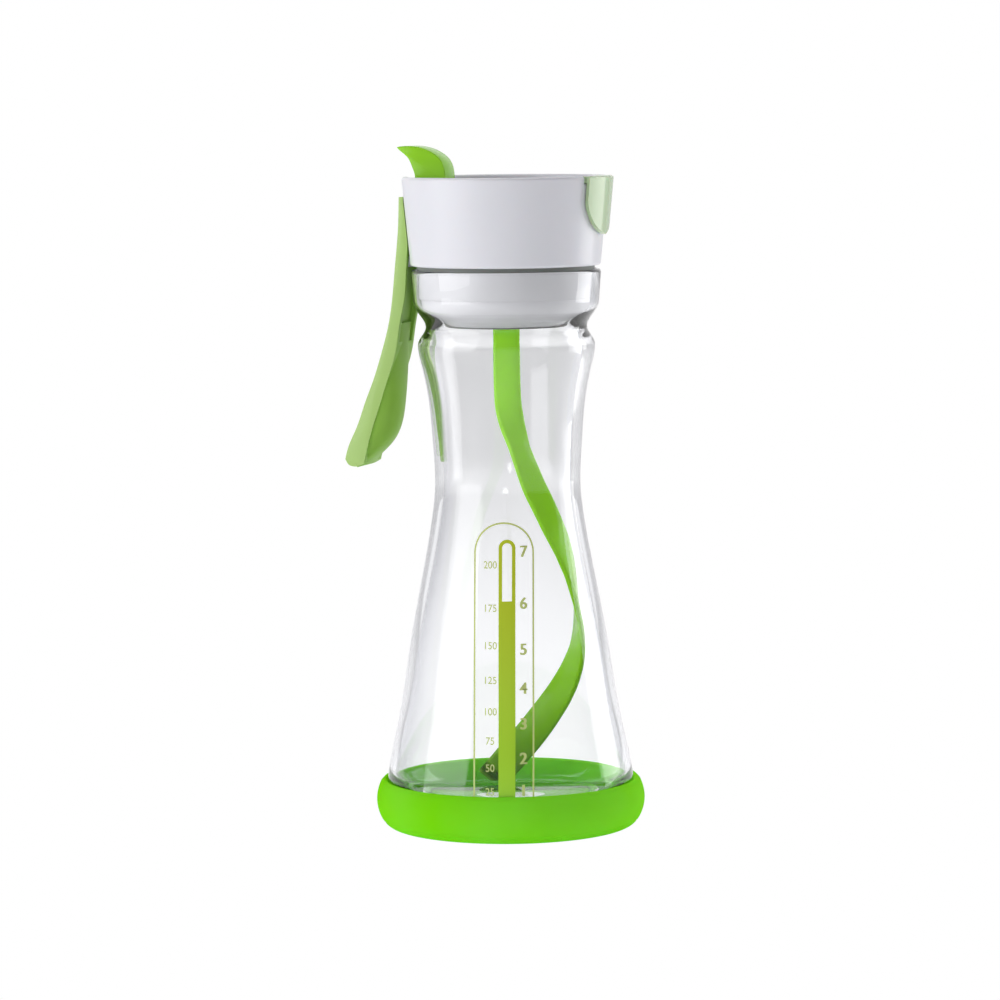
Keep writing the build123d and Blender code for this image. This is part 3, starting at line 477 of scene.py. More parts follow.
# Painted reflection: a paler, greyer copy of the lime for the strap, standing in for the white room reflected in it.
STRAP_PAINTED_SHEEN = MouldedPlastic("satin_lime_moulding", (0.43, 0.67, 0.165), coat=0.25, see_through=0.1)
# The ribbon darkens towards its foot with painted shade.
RIBBON = MouldedPlastic(
    "ribbon_moulding",
    (0.37, 0.88, 0.001),
    roughness=0.2,
    coat=0.3,
    shine=0.1,
    see_through=0.2,
    deep=0.62,
    deep_z=(12, 85),
)
PLUG = MouldedPlastic("plug_moulding", (0.81, 0.81, 0.83), roughness=0.35, variation=0.01)
WHITE = MouldedPlastic("white_moulding", (0.76, 0.76, 0.81), depth=0.05, variation=0.012)
GEARS = MouldedPlastic("gear_moulding", (0.78, 0.76, 0.70), roughness=0.4, coat=0.0)
SEALS = SoftRubber("seal_silicone", (0.76, 0.76, 0.81))
# Painted shade: a dark grey for the shadow lines under the plug's rim and in the gap between lid and glass.
EDGE_PAINTED_SHADE = SoftRubber("edge_silicone", (0.20, 0.22, 0.20))
STEEL = DrawnSteel("drawn_steel")
INK = PrintedInk("scale_ink", (0.33, 0.64, 0.01), (0.46, 0.54, 0.005), 16.0, 80.0)
PALE_INK = PrintedInk("number_ink", (0.56, 0.66, 0.22), (0.54, 0.60, 0.20), 16.0, 98.0)


@dataclass
class Finishes:
    """Every finish of the bottle, built once."""

    glass: Material = field(default_factory=GLASS.build)
    boot: Material = field(default_factory=BOOT.build)
    lime: Material = field(default_factory=LIME.build)
    hull: Material = field(default_factory=HULL_PAINTED_SHADE.build)
    pale: Material = field(default_factory=ROCKER_PAINTED_SHEEN.build)
    satin: Material = field(default_factory=STRAP_PAINTED_SHEEN.build)
    ribbon: Material = field(default_factory=RIBBON.build)
    plug: Material = field(default_factory=PLUG.build)
    white: Material = field(default_factory=WHITE.build)
    gears: Material = field(default_factory=GEARS.build)
    seals: Material = field(default_factory=SEALS.build)
    edging: Material = field(default_factory=EDGE_PAINTED_SHADE.build)
    steel: Material = field(default_factory=STEEL.build)
    ink: Material = field(default_factory=INK.build)
    pale_ink: Material = field(default_factory=PALE_INK.build)

    def of(self, slot: Slot) -> Material:
        """Return the finish for a material slot, which bears the slot's name in lower case."""
        return getattr(self, slot.name.lower())


# ---------------------------------------------------------------- shared mesh work


def fair_line(points: Sequence[Pair], start: Pair, end: Pair, steps: int) -> list[Pair]:
    """Run a fair curve through points, leaving and arriving along given directions.

    Args:
        points: the points that the curve passes through.
        start: direction in which it leaves the first point.
        end: direction in which it arrives at the last point.
        steps: number of spans that it is divided into.

    Returns:
        Points along the curve, ends included.
    """
    p = np.array(points, float)
    chord = np.hypot(*np.diff(p, axis=0).T)
    t = np.concatenate([[0.0], np.cumsum(chord)])
    n = len(p)
    a, b = np.zeros((n, n)), np.zeros((n, p.shape[1]))
    a[0, 0] = a[-1, -1] = 1.0
    b[0] = np.array(start, float) / np.hypot(*start)
    b[-1] = np.array(end, float) / np.hypot(*end)
    for i in range(1, n - 1):
        h0, h1 = t[i] - t[i - 1], t[i + 1] - t[i]
        a[i, i - 1], a[i, i], a[i, i + 1] = h1, 2 * (h0 + h1), h0
        b[i] = 3 * (h1 * (p[i] - p[i - 1]) / h0 + h0 * (p[i + 1] - p[i]) / h1)
    slope = np.linalg.solve(a, b)
    line = []
    for at in np.linspace(0.0, t[-1], steps + 1):
        i = min(max(int(np.searchsorted(t, at, side="right")) - 1, 0), n - 2)
        h = t[i + 1] - t[i]
        s = (at - t[i]) / h
        point = (
            (2 * s**3 - 3 * s**2 + 1) * p[i]
            + (s**3 - 2 * s**2 + s) * h * slope[i]
            + (3 * s**2 - 2 * s**3) * p[i + 1]
            + (s**3 - s**2) * h * slope[i + 1]
        )
        line.append(tuple(float(v) for v in point))
    return line


def corner_arc(centre: Pair, radius: float, start: float, end: float, steps: int = 6) -> list[Pair]:
    """Return points of an arc in the profile plane, from one angle to another, in degrees."""
    turns = [radians(start + (end - start) * i / steps) for i in range(steps + 1)]
    return [(centre[0] + radius * cos(turn), centre[1] + radius * sin(turn)) for turn in turns]


def turned(profile: Sequence[Pair], steps: int, closed: bool = True) -> Form:
    """Turn a profile of radius and height all the way round the bottle's axis.

    Args:
        profile: points in order along the profile.
        steps: number of facets round the axis.
        closed: whether the last point joins the first.

    Returns:
        The turned mesh, in millimetres.
    """
    bm = bmesh.new()
    verts = [bm.verts.new((r, 0.0, z)) for r, z in profile]
    pairs = list(zip(verts, verts[1:])) + ([(verts[-1], verts[0])] if closed else [])
    edges = [bm.edges.new(pair) for pair in pairs]
    bmesh.ops.spin(
        bm, geom=verts + edges, cent=(0, 0, 0), axis=(0, 0, 1), angle=2 * pi, steps=steps, use_merge=True
    )
    bmesh.ops.remove_doubles(bm, verts=bm.verts[:], dist=1e-5)
    bmesh.ops.recalc_face_normals(bm, faces=bm.faces[:])
    return bm


def raised(bm: Form, faces: Sequence[bmesh.types.BMFace], move: Triple) -> list[bmesh.types.BMVert]:
    """Extrude faces.

    Args:
        bm: the mesh under construction.
        faces: the faces that are drawn out.
        move: how far and in which direction, in millimetres.

    Returns:
        The corners of the moved faces.
    """
    made = bmesh.ops.extrude_face_region(bm, geom=faces)
    moved = [v for v in made["geom"] if isinstance(v, bmesh.types.BMVert)]
    bmesh.ops.translate(bm, verts=moved, vec=move)
    return moved


def side_plate(outline: Sequence[Pair], half_width: float) -> Form:
    """Extrude an outline in X and Z to a plate that is centred on the XZ plane.

    Args:
        outline: corner points in order.
        half_width: half of the plate's width along Y.

    Returns:
        The plate's mesh, in millimetres.
    """
    bm = bmesh.new()
    face = bm.faces.new([bm.verts.new((x, -half_width, z)) for x, z in outline])
    raised(bm, [face], (0, 2 * half_width, 0))
    bmesh.ops.recalc_face_normals(bm, faces=bm.faces[:])
    return bm


def soften(bm: Form, radius: float, above_deg: float) -> None:
    """Round every edge that turns by more than an angle.

    Args:
        bm: the mesh, in millimetres.
        radius: width of the rounding.
        above_deg: the angle.
    """
    edges = [e for e in bm.edges if len(e.link_faces) == 2 and e.calc_face_angle(0.0) > radians(above_deg)]
    bmesh.ops.bevel(
        bm,
        geom=edges,
        offset=radius,
        offset_type="OFFSET",
        affect="EDGES",
        segments=3,
        profile=0.5,
        material=-1,
        clamp_overlap=True,
    )


def sliced(bm: Form, axis: int, places: Iterable[float], keep_above: bool = False) -> None:
    """Cut a mesh across an axis.

    Args:
        bm: the mesh, in millimetres.
        axis: 0 for X, 1 for Y, 2 for Z.
        places: where it is cut, along the axis.
        keep_above: whether what lies below the cut is taken away.
    """
    for place in places:
        point, normal = Vector(), Vector()
        point[axis], normal[axis] = place, -1 if keep_above else 1
        geom = bm.verts[:] + bm.edges[:] + bm.faces[:]
        bmesh.ops.bisect_plane(bm, geom=geom, plane_co=point, plane_no=normal, clear_outer=keep_above)


def swept(sections: Sequence[Sequence[Vector]]) -> Form:
    """Draw a closed section through a run of stations.

    Args:
        sections: the section's corners at each station, always in the same order.

    Returns:
        The mesh in millimetres, in which each station between the ends keeps its face as a hidden wall.
    """
    bm = bmesh.new()
    face = bm.faces.new([bm.verts.new(place) for place in sections[0]])
    for places in sections[1:]:
        made = bmesh.ops.extrude_face_region(bm, geom=[face])
        face = next(f for f in made["geom"] if isinstance(f, bmesh.types.BMFace))
        gaps = [(face.verts[0].co - place).length for place in places]
        start = gaps.index(min(gaps))
        for i, vert in enumerate(list(face.verts)):
            vert.co = places[(start + i) % len(places)]
    return bm


def placed(name: str, data: bpy.types.ID) -> Piece:
    """Put an object with a mesh, a light or a camera in the scene.

    Args:
        name: the object's name.
        data: its mesh, light or camera.

    Returns:
        The new object.
    """
    made = bpy.data.objects.new(name, data)
    bpy.context.scene.collection.objects.link(made)
    return made


def solid(name: str, bm: Form) -> Piece:
    """Put a mesh in the scene.

    Args:
        name: the object's name.
        bm: the mesh, which is freed.

    Returns:
        The new object.
    """
    mesh = bpy.data.meshes.new(name)
    bm.to_mesh(mesh)
    bm.free()
    return placed(name, mesh)


def smoothed(name: str, bm: Form, finish: Material, sharp_deg: float) -> Piece:
    """Put a mesh in the scene, smooth apart from its sharp edges, and dress it.

    Args:
        name: the object's name.
        bm: the mesh in metres, which is freed.
        finish: its material.
        sharp_deg: angle above which an edge stays crisp.

    Returns:
        The new object.
    """
    for face in bm.faces:
        face.smooth = True
    made = solid(name, bm)
    made.data.set_sharp_from_angle(angle=radians(sharp_deg))
    made.data.materials.append(finish)
    return made


def piece(
    name: str,
    bm: Form,
    body: Body,
    finish: Material,
    stands_for: Sequence[str] = (),
    sharp_deg: float = 40.0,
) -> Piece:
    """Finish a mesh in millimetres as a piece of the bottle.

    Args:
        name: the piece's name.
        bm: its mesh, which is freed.
        body: the body it moves with.
        finish: its material.
        stands_for: frame nodes that it replaces.
        sharp_deg: angle above which an edge stays crisp.

    Returns:
        The new object.
    """
    bmesh.ops.scale(bm, vec=(MM, MM, MM), verts=bm.verts[:])
    made = smoothed(name, bm, finish, sharp_deg)
    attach(made, body.value)
    if stands_for:
        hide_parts(*stands_for)
    log.info("%s: %d faces, moves with %s", name, len(made.data.polygons), body.value)
    return made


def cut(target: Form, tool: Form) -> Form:
    """Take one closed mesh out of another.

    Args:
        target: the mesh that is cut, which is freed.
        tool: the mesh that is taken away, which is freed.

    Returns:
        What is left.
    """
    left, away = solid("cut", target), solid("cut", tool)
    change = left.modifiers.new("cut", "BOOLEAN")
    change.operation = "DIFFERENCE"
    change.solver = "EXACT"
    change.object = away
    bpy.context.view_layer.update()
    result = bmesh.new()
    result.from_object(left, bpy.context.evaluated_depsgraph_get())
    for made in (left, away):
        mesh = made.data
        bpy.data.objects.remove(made)
        bpy.data.meshes.remove(mesh)
    bmesh.ops.recalc_face_normals(result, faces=result.faces[:])
    return result


# ---------------------------------------------------------------- bottle


@dataclass
class GlassBottle:
    """The waisted glass, turned in one piece from its thick floor to its rounded mouth."""

    finishes: Finishes
    low_z: float = 2.2
    floor_t: float = 6.0
    wall: float = 2.0
    waist_wall: float = 2.8
    groove_wall: float = 2.5
    bulge_wall: float = 3.6
    heel_r: float = 3.5
    foot: Pair = (39.0, 9.0)
    waist: Pair = (22.7, 108.7)
    bulge: Pair = (27.6, 151.2)
    groove: Pair = (25.2, 156.3)
    collar: Pair = (29.0, 165.0)
    lip_r: float = 29.6
    rim_z: float = 174.6
    mouth_r: float = 28.0
    punt_r: float = 27.0
    punt_depth: float = 2.4
    facets: int = 192
    flank_shares: tuple[Pair, ...] = (
        (0.0, 0.0), (0.26, 0.26), (0.49, 0.49), (0.72, 0.755), (0.905, 0.952), (1.0, 1.0)
    )
    neck_shares: tuple[Pair, ...] = ((0.0, 0.0), (0.294, 0.128), (0.588, 0.341), (0.84, 0.757), (1.0, 1.0))

    def wall_line(self, shares: Sequence[Pair], low: Pair, high: Pair, walls: Pair, steps: int) -> list[Pair]:
        """Run a fair line between two places of the outline, moved inward by a wall that changes on the way.

        Args:
            shares: shares of the way up, each with its share of the way across.
            low: radius and height of the lower place.
            high: radius and height of the upper place.
            walls: how far it is moved inward at the lower and at the upper place.
            steps: number of spans that it is divided into.

        Returns:
            Points from low to high.
        """
        points = [
            (
                low[0] + (high[0] - low[0]) * across - (walls[0] + (walls[1] - walls[0]) * up),
                low[1] + (high[1] - low[1]) * up,
            )
            for up, across in shares
        ]
        return fair_line(points, (0, 1), (0, 1), steps)

    def flank(self, *walls: float) -> list[Pair]:
        """Return the line from foot to waist, moved inward by the walls at its ends."""
        return self.wall_line(self.flank_shares, self.foot, self.waist, walls or (0.0, 0.0), 64)

    def neck(self, *walls: float) -> list[Pair]:
        """Return the line from waist to bulge, moved inward by the walls at its ends."""
        return self.wall_line(self.neck_shares, self.waist, self.bulge, walls or (0.0, 0.0), 40)

    def outside(self) -> list[Pair]:
        """Draw the outer line.

        Returns:
            Points from the underside's middle to the lip.
        """
        heel = corner_arc((self.foot[0] - self.heel_r, self.low_z + self.heel_r), self.heel_r, -90, 0)
        collar = fair_line([self.bulge, self.groove, self.collar], (0, 1), (0, 1), 26)
        return [
            (0.0, self.low_z + self.punt_depth),
            (self.punt_r - 1.5, self.low_z + self.punt_depth),
            (self.punt_r, self.low_z + self.punt_depth - 0.4),
            (self.punt_r + self.punt_depth, self.low_z),
            *heel,
            *self.flank(),
            *self.neck()[1:],
            *collar[1:],
            (self.lip_r, self.rim_z - 1.2),
        ]

    def inside(self) -> list[Pair]:
        """Draw the inner line.

        Returns:
            Points from the mouth to the floor's middle.
        """
        collar = fair_line(
            [
                (self.mouth_r, self.collar[1]),
                (self.groove[0] - self.groove_wall, self.groove[1]),
                (self.bulge[0] - self.bulge_wall, self.bulge[1]),
            ],
            (0, -1),
            (0, -1),
            22,
        )
        floor_z = self.low_z + self.floor_t
        start_r = self.foot[0] - self.wall - self.heel_r / 2
        flank = [p for p in reversed(self.flank(self.wall, self.waist_wall)) if p[1] > floor_z + self.heel_r + 6]
        neck = list(reversed(self.neck(self.waist_wall, self.bulge_wall)))
        heel = fair_line(
            [flank[-1], (start_r, floor_z + self.heel_r), (start_r - self.heel_r, floor_z)],
            (flank[-1][0] - flank[-2][0], flank[-1][1] - flank[-2][1]),
            (-1, 0),
            14,
        )
        return [*collar, *neck[1:], *flank[1:], *heel[1:], (0.0, floor_z)]

    def build(self) -> Piece:
        """Turn the glass.

        Returns:
            The glass.
        """
        middle = ((self.lip_r + self.mouth_r) / 2, self.rim_z - 0.8)
        rim = corner_arc(middle, (self.lip_r - self.mouth_r) / 2, 0, 180, 8)
        bm = turned([*self.outside(), *rim, *self.inside()], self.facets, closed=False)
        return piece("glass_bottle_wall", bm, Body.BOTTLE, self.finishes.glass, ("glass_bottle",), 60)


@dataclass
class Boot:
    """The soft green ring that the glass stands in."""

    finishes: Finishes
    hole_r: float = 12.0
    foot_r: float = 37.0
    belly_r: float = 42.0
    height: float = 15.0
    floor_t: float = 2.2
    inner_r: float = 39.02
    lip_t: float = 1.3
    parting_z: float = 1.9
    parting_depth: float = 0.12
    facets: int = 192

    def build(self) -> Piece:
        """Turn the ring, with a rounded lip, a rounded foot and the line where its mould parts.

        Returns:
            The ring.
        """
        side = fair_line(
            [(self.foot_r, 0.0), (self.belly_r, self.height * 0.45), (self.inner_r + self.lip_t, self.height)],
            (1, 0.12),
            (-0.55, 1),
            44,
        )
        parting = [(r - self.parting_depth * (abs(z - self.parting_z) < 0.25), z) for r, z in side[:-3]]
        lip = corner_arc((self.inner_r + 0.62, self.height - 0.62), 0.6, 35, 180, 8)
        profile = [
            (self.hole_r, 0.0),
            *parting,
            *lip,
            (self.inner_r, self.floor_t),
            (self.hole_r + 0.4, self.floor_t),
            (self.hole_r, self.floor_t - 0.4),
        ]
        bm = turned(profile, self.facets)
        return piece("base_ring_boot", bm, Body.BOTTLE, self.finishes.boot, ("base_ring",), 50)


@dataclass
class PrintedScale:
    """The measuring scale on the front of the glass: a framed column between two rows of numbers."""

    finishes: Finishes
    glass: GlassBottle
    bearing_deg: float = -90.0 + 14.7
    half_w: float = 9.45
    top_z: float = 97.8
    low_z: float = 14.7
    line_w: float = 0.55
    column_u: float = 1.0
    column_half_w: float = 2.6
    column_line_w: float = 1.1
    column_top_z: float = 92.5
    fill_z: float = 73.8
    stand_off: float = 0.06
    left_numbers: tuple[tuple[str, float], ...] = (
        ("200", 84.7), ("175", 71.6), ("150", 60.3), ("125", 49.8),
        ("100", 40.3), ("75", 31.5), ("50", 23.4), ("25", 16.3),
    )
    right_numbers: tuple[tuple[str, float], ...] = (
        ("7", 88.7), ("6", 73.0), ("5", 59.1), ("4", 47.3), ("3", 36.6), ("2", 26.2), ("1", 16.6)
    )
    left_u: float = -4.2
    right_u: float = 6.1
    strikes: Triple = (-0.15, 0, 0.15)

    def arch(self, half_w: float, top_z: float, u: float = 0.0) -> list[Pair]:
        """Draw an outline of two straight sides and a round top.

        Args:
            half_w: half of its width.
            top_z: height of its top.
            u: how far its middle lies to the right of the scale's.

        Returns:
            Points from low left to low right.
        """
        top = corner_arc((u, top_z - half_w), half_w, 180, 0, 28)
        return [(u - half_w, self.low_z), *top, (u + half_w, self.low_z)]

    def strip(self, bm: Form, outer: Sequence[Pair], inner: Sequence[Pair]) -> None:
        """Fill the strip between two open outlines.

        Args:
            bm: the print under construction.
            outer: points of one outline.
            inner: as many points of the other.
        """
        rows = [[bm.verts.new((u, 0.0, v)) for u, v in line] for line in (outer, inner)]
        edges = [bm.edges.new(pair) for row in rows for pair in zip(row, row[1:])]
        bmesh.ops.bridge_loops(bm, edges=edges)

    def numbers(self) -> Form:
        """Set the two rows of numbers: narrow ones on the left, and struck three times over on the right.

        Returns:
            The flat numbers.
        """
        rows = [(text, self.left_u, z, 2.5, 0.9) for text, z in self.left_numbers]
        for text, z in self.right_numbers:
            rows += [(text, self.right_u + shift, z, 3.8, 0.95) for shift in self.strikes]
        bm = bmesh.new()
        for text, u, z, size, narrow in rows:
            curve = bpy.data.curves.new("number", "FONT")
            curve.body = text
            curve.size = size * 1.28
            curve.align_x = "CENTER"
            curve.align_y = "CENTER"
            curve.offset = size * 0.012
            made = bpy.data.objects.new("number", curve)
            mesh = bpy.data.meshes.new_from_object(made)
            place = Matrix.Translation((u, 0.0, z)) @ Matrix.Rotation(pi / 2, 4, "X")
            mesh.transform(place @ Matrix.Diagonal((narrow, 1.0, 1.0, 1.0)))
            bm.from_mesh(mesh)
            bpy.data.objects.remove(made)
            bpy.data.curves.remove(curve)
            bpy.data.meshes.remove(mesh)
        return bm

    def lay(self, name: str, bm: Form, ink: Material) -> Piece:
        """Cut a flat print into short steps and lay it round the glass.

        Args:
            name: the print's name.
            bm: the flat print, with its middle at X 0 and its heights along Z.
            ink: its material.

        Returns:
            The print on the glass.
        """
        sliced(bm, 2, np.arange(self.low_z + 2, self.top_z, 2.0))
        sliced(bm, 0, np.arange(-9, 9.5, 1.0))
        bmesh.ops.triangulate(bm, faces=bm.faces[:])
        radii, heights = zip(*self.glass.flank())
        for vert in bm.verts:
            u, _, z = vert.co
            radius = float(np.interp(z, heights, radii)) + self.stand_off
            turn = radians(self.bearing_deg) + u / radius
            vert.co = (radius * cos(turn), radius * sin(turn), z)
        return piece(name, bm, Body.BOTTLE, ink)

    def build(self) -> list[Piece]:
        """Print the frame, the column and the numbers beside it.

        Returns:
            The three prints.
        """
        frame, column = bmesh.new(), bmesh.new()
        w, c, u = self.line_w, self.column_line_w, self.column_u
        self.strip(frame, self.arch(self.half_w, self.top_z), self.arch(self.half_w - w, self.top_z - w))
        inner = self.arch(self.column_half_w - c, self.column_top_z - c, u)
        self.strip(column, self.arch(self.column_half_w, self.column_top_z, u), inner)
        low, high = self.low_z, self.fill_z
        left, right = u - self.column_half_w + c - 0.02, u + self.column_half_w - c + 0.02
        corners = ((left, low), (right, low), (right, high), (left, high))
        column.faces.new([column.verts.new((x, 0.0, z)) for x, z in corners])
        return [
            self.lay("scale_frame", frame, self.finishes.pale_ink),
            self.lay("scale_column", column, self.finishes.ink),
            self.lay("scale_numbers", self.numbers(), self.finishes.pale_ink),
        ]


# ---------------------------------------------------------------- lid pieces


@dataclass(frozen=True)
class LidWall:
    """Outside of the lid's wall, which the rocker and the trigger run along, and the gap that they keep from it."""

    low_z: float = 175.8
    top_z: float = 203.5
    low_r: float = 29.6
    top_r: float = 32.2
    ledge_z: float = 170.0
    ledge_r: float = 29.2
    gap: float = 0.35

    def radius_at(self, z: float) -> float:
        """Return the wall's outer radius at a height."""
        return self.low_r + (self.top_r - self.low_r) * ((z - self.low_z) / (self.top_z - self.low_z))

    def clearance(self) -> Form:
        """Turn the room that the lid takes, with the ledge under its wall and the gap round it.

        Returns:
            The room as a solid.
        """
        low_r, top_r = self.low_r + self.gap, self.top_r + self.gap
        ledge = [(0, self.ledge_z), (self.ledge_r, self.ledge_z)]
        return turned([*ledge, (low_r, self.low_z), (top_r, self.top_z), (0, self.top_z)], 128, False)


@dataclass
class PourRocker:
    """Thumb hook, bar and tongue of the pouring rocker, moulded in one."""

    finishes: Finishes
    wall: LidWall = field(default_factory=LidWall)
    bar_half_w: float = 4.8
    bar_t: float = 2.2
    bar_sink: float = 0.9
    bar_flare: float = 4.0
    bar_back: float = 0.66
    hook_back: float = 28.0
    hook_rise: float = 9.5
    tongue_t: float = 1.15
    tongue_half_deg: float = 22.0
    tongue_drop: float = 18.0
    tongue_ridge: float = 0.55
    front_shares: tuple[Pair, ...] = (
        (-0.640, 0.0), (-0.680, 0.48), (-0.785, 0.77), (-0.950, 0.96), (-1.110, 1.0), (-1.215, 0.96)
    )
    rear_shares: tuple[Pair, ...] = (
        (-1.215, 0.96), (-1.150, 0.79), (-1.079, 0.60), (-1.035, 0.33), (-1.0, 0.0)
    )
    nose_shares: tuple[Pair, ...] = ((1.0, 0.41), (0.89, 0.63), (0.54, 0.87), (0.0, 1.0))

    def hook(self) -> Piece:
        """Make the curled thumb hook.

        Returns:
            The hook.
        """
        back, rise, top = self.hook_back, self.hook_rise, self.wall.top_z
        low = top - self.bar_t
        front = [(back * x, top + rise * z) for x, z in self.front_shares]
        rear = [(back * x, top + rise * z) for x, z in self.rear_shares]
        line = [*fair_line(front, (-0.05, 1), (-1, -0.25), 22), *fair_line(rear, (0.7, -0.75), (0.1, -1), 16)[1:]]
        bm = side_plate([*line, (-back, low), (-back * 0.64, low)], self.bar_half_w)
        soften(bm, 0.7, 50)
        return piece("thumb_hook", bm, Body.ROCKER, self.finishes.lime, ("pour_rocker",), 35)

    def bar(self) -> Piece:
        """Make the bar that joins hook and tongue, widening towards the spout.

        Returns:
            The bar.
        """
        turn = radians(self.tongue_half_deg)
        wide_x, half = self.wall.top_r * cos(turn) - 4.0, self.wall.top_r * sin(turn)
        reach = self.wall.top_r + self.wall.gap + self.tongue_t - 0.1
        end_deg = self.tongue_half_deg - 2.2
        side = [(-self.hook_back * self.bar_back, self.bar_half_w), (wide_x - self.bar_flare, self.bar_half_w)]
        side.append((wide_x, half))
        rim = corner_arc((0, 0), reach, -end_deg, end_deg, 16)
        outline = [*[(x, -y) for x, y in side], *rim, *reversed(side)]
        top = self.wall.top_z
        bm = bmesh.new()
        face = bm.faces.new([bm.verts.new((x, y, top - self.bar_t)) for x, y in outline])
        moved = raised(bm, [face], (0, 0, self.bar_t))
        sunk = [v for v in moved if v.co.x < wide_x - 1.0]
        bmesh.ops.translate(bm, verts=sunk, vec=(0, 0, -self.bar_sink))
        bmesh.ops.recalc_face_normals(bm, faces=bm.faces[:])
        soften(bm, 0.5, 30)
        return piece("rocker_bar", bm, Body.ROCKER, self.finishes.pale, sharp_deg=35)

    def tongue(self) -> Piece:
        """Make the shield-shaped tongue that lies over the spout.

        Returns:
            The tongue.
        """
        lid_r, top, drop = self.wall.top_r, self.wall.top_z, self.tongue_drop
        half_w = lid_r * sin(radians(self.tongue_half_deg))
        points = [(-half_w * side, top - drop * down) for side, down in self.nose_shares]
        nose = fair_line(points, (0.0, -1), (1, -0.25), 24)
        outline = [(-half_w, top - 0.3), *nose, *[(-y, z) for y, z in reversed(nose[:-1])], (half_w, top - 0.3)]
        bm = bmesh.new()
        bm.faces.new([bm.verts.new((0.0, y, z)) for y, z in outline])
        sliced(bm, 1, np.linspace(-half_w, half_w, 17)[1:-1])
        sliced(bm, 2, np.arange(top - drop + 1.5, top - 0.4, 1.5))
        front = set(raised(bm, bm.faces[:], (0, 0, 0)))
        for vert in bm.verts:
            ridge = self.tongue_ridge * (1 - abs(vert.co.y) / half_w)
            radius = self.wall.radius_at(vert.co.z) + self.wall.gap + (self.tongue_t + ridge) * (vert in front)
            turn = vert.co.y / lid_r
            vert.co = (radius * cos(turn), radius * sin(turn), vert.co.z)
        bmesh.ops.recalc_face_normals(bm, faces=bm.faces[:])
        soften(bm, 0.3, 50)
        return piece("spout_tongue", bm, Body.ROCKER, self.finishes.pale, sharp_deg=3.0)

    def build(self) -> list[Piece]:
        """Make the rocker's three forms."""
        return [self.hook(), self.bar(), self.tongue()]


@dataclass
class PlugRim:
    """The plug's crisp lower rim with a thin dark ring of painted shade under its edge, and the sleeve further up."""

    finishes: Finishes
    low_z: float = 157.35
    rim_r: float = 21.8
    seal_t: float = 0.4
    sleeve: Pair = (26.42, 27.12)
    sleeve_z: Pair = (165.7, 174.7)
    flange_r: float = 27.7
    flange_z: float = 175.75
    facets: int = 160

    def ring(self, name: str, profile: Sequence[Pair], slot: Slot, finish: Material, *nodes: str) -> Piece:
        """Turn one of the rings, which all move with the lid.

        Args:
            name: the ring's name.
            profile: points in order round its section.
            slot: the record's material slot; not used.
            finish: its material.
            *nodes: frame nodes that it replaces.

        Returns:
            The ring.
        """
        return piece(name, turned(profile, self.facets), Body.LID, finish, nodes)

    def build(self) -> list[Piece]:
        """Turn the rim, the dark ring of painted shade under it, the sleeve, and the flange over the sleeve, dark with
        painted shade for the gap under the lid.

        Returns:
            The four rings.
        """
        low, rim, seal = self.low_z, self.rim_r, self.low_z - self.seal_t
        (inner_r, outer_r), (foot_z, head_z) = self.sleeve, self.sleeve_z
        crisp_rim = [
            (rim - 3.2, low),
            (rim - 0.3, low),
            (rim, low + 0.3),
            (rim + 1.2, low + 1.2),
            (rim + 2.8, low + 3.0),
            (rim + 2.6, low + 3.2),
            (rim + 0.7, low + 1.8),
            (rim - 1.8, low + 0.9),
            (rim - 3.2, low + 0.4),
        ]
        edge = [
            (rim - 1.4, seal),
            (rim - 0.3, seal),
            (rim - 0.1, seal + 0.15),
            (rim - 0.1, low + 0.05),
            (rim - 1.4, low + 0.05),
        ]
        sleeve = [
            (inner_r, foot_z),
            (outer_r - 0.3, foot_z),
            (outer_r, foot_z + 0.4),
            (outer_r, head_z - 0.4),
            (inner_r, head_z - 0.4),
        ]
        flange = [
            (inner_r, head_z - 0.38),
            (outer_r, head_z - 0.38),
            (outer_r, head_z),
            (self.flange_r, head_z),
            (self.flange_r, self.flange_z),
            (inner_r, self.flange_z),
        ]
        return [
            self.ring("plug_rim", crisp_rim, Slot.WHITE, self.finishes.plug),
            # Painted shade: the dark ring under the rim and the dark flange stand in for shadow lines.
            self.ring("plug_rim_painted_shade", edge, Slot.SEALS, self.finishes.edging),
            self.ring("gasket_sleeve", sleeve, Slot.SEALS, self.finishes.plug, "plug_gasket"),
            self.ring("gasket_flange", flange, Slot.SEALS, self.finishes.edging),
        ]


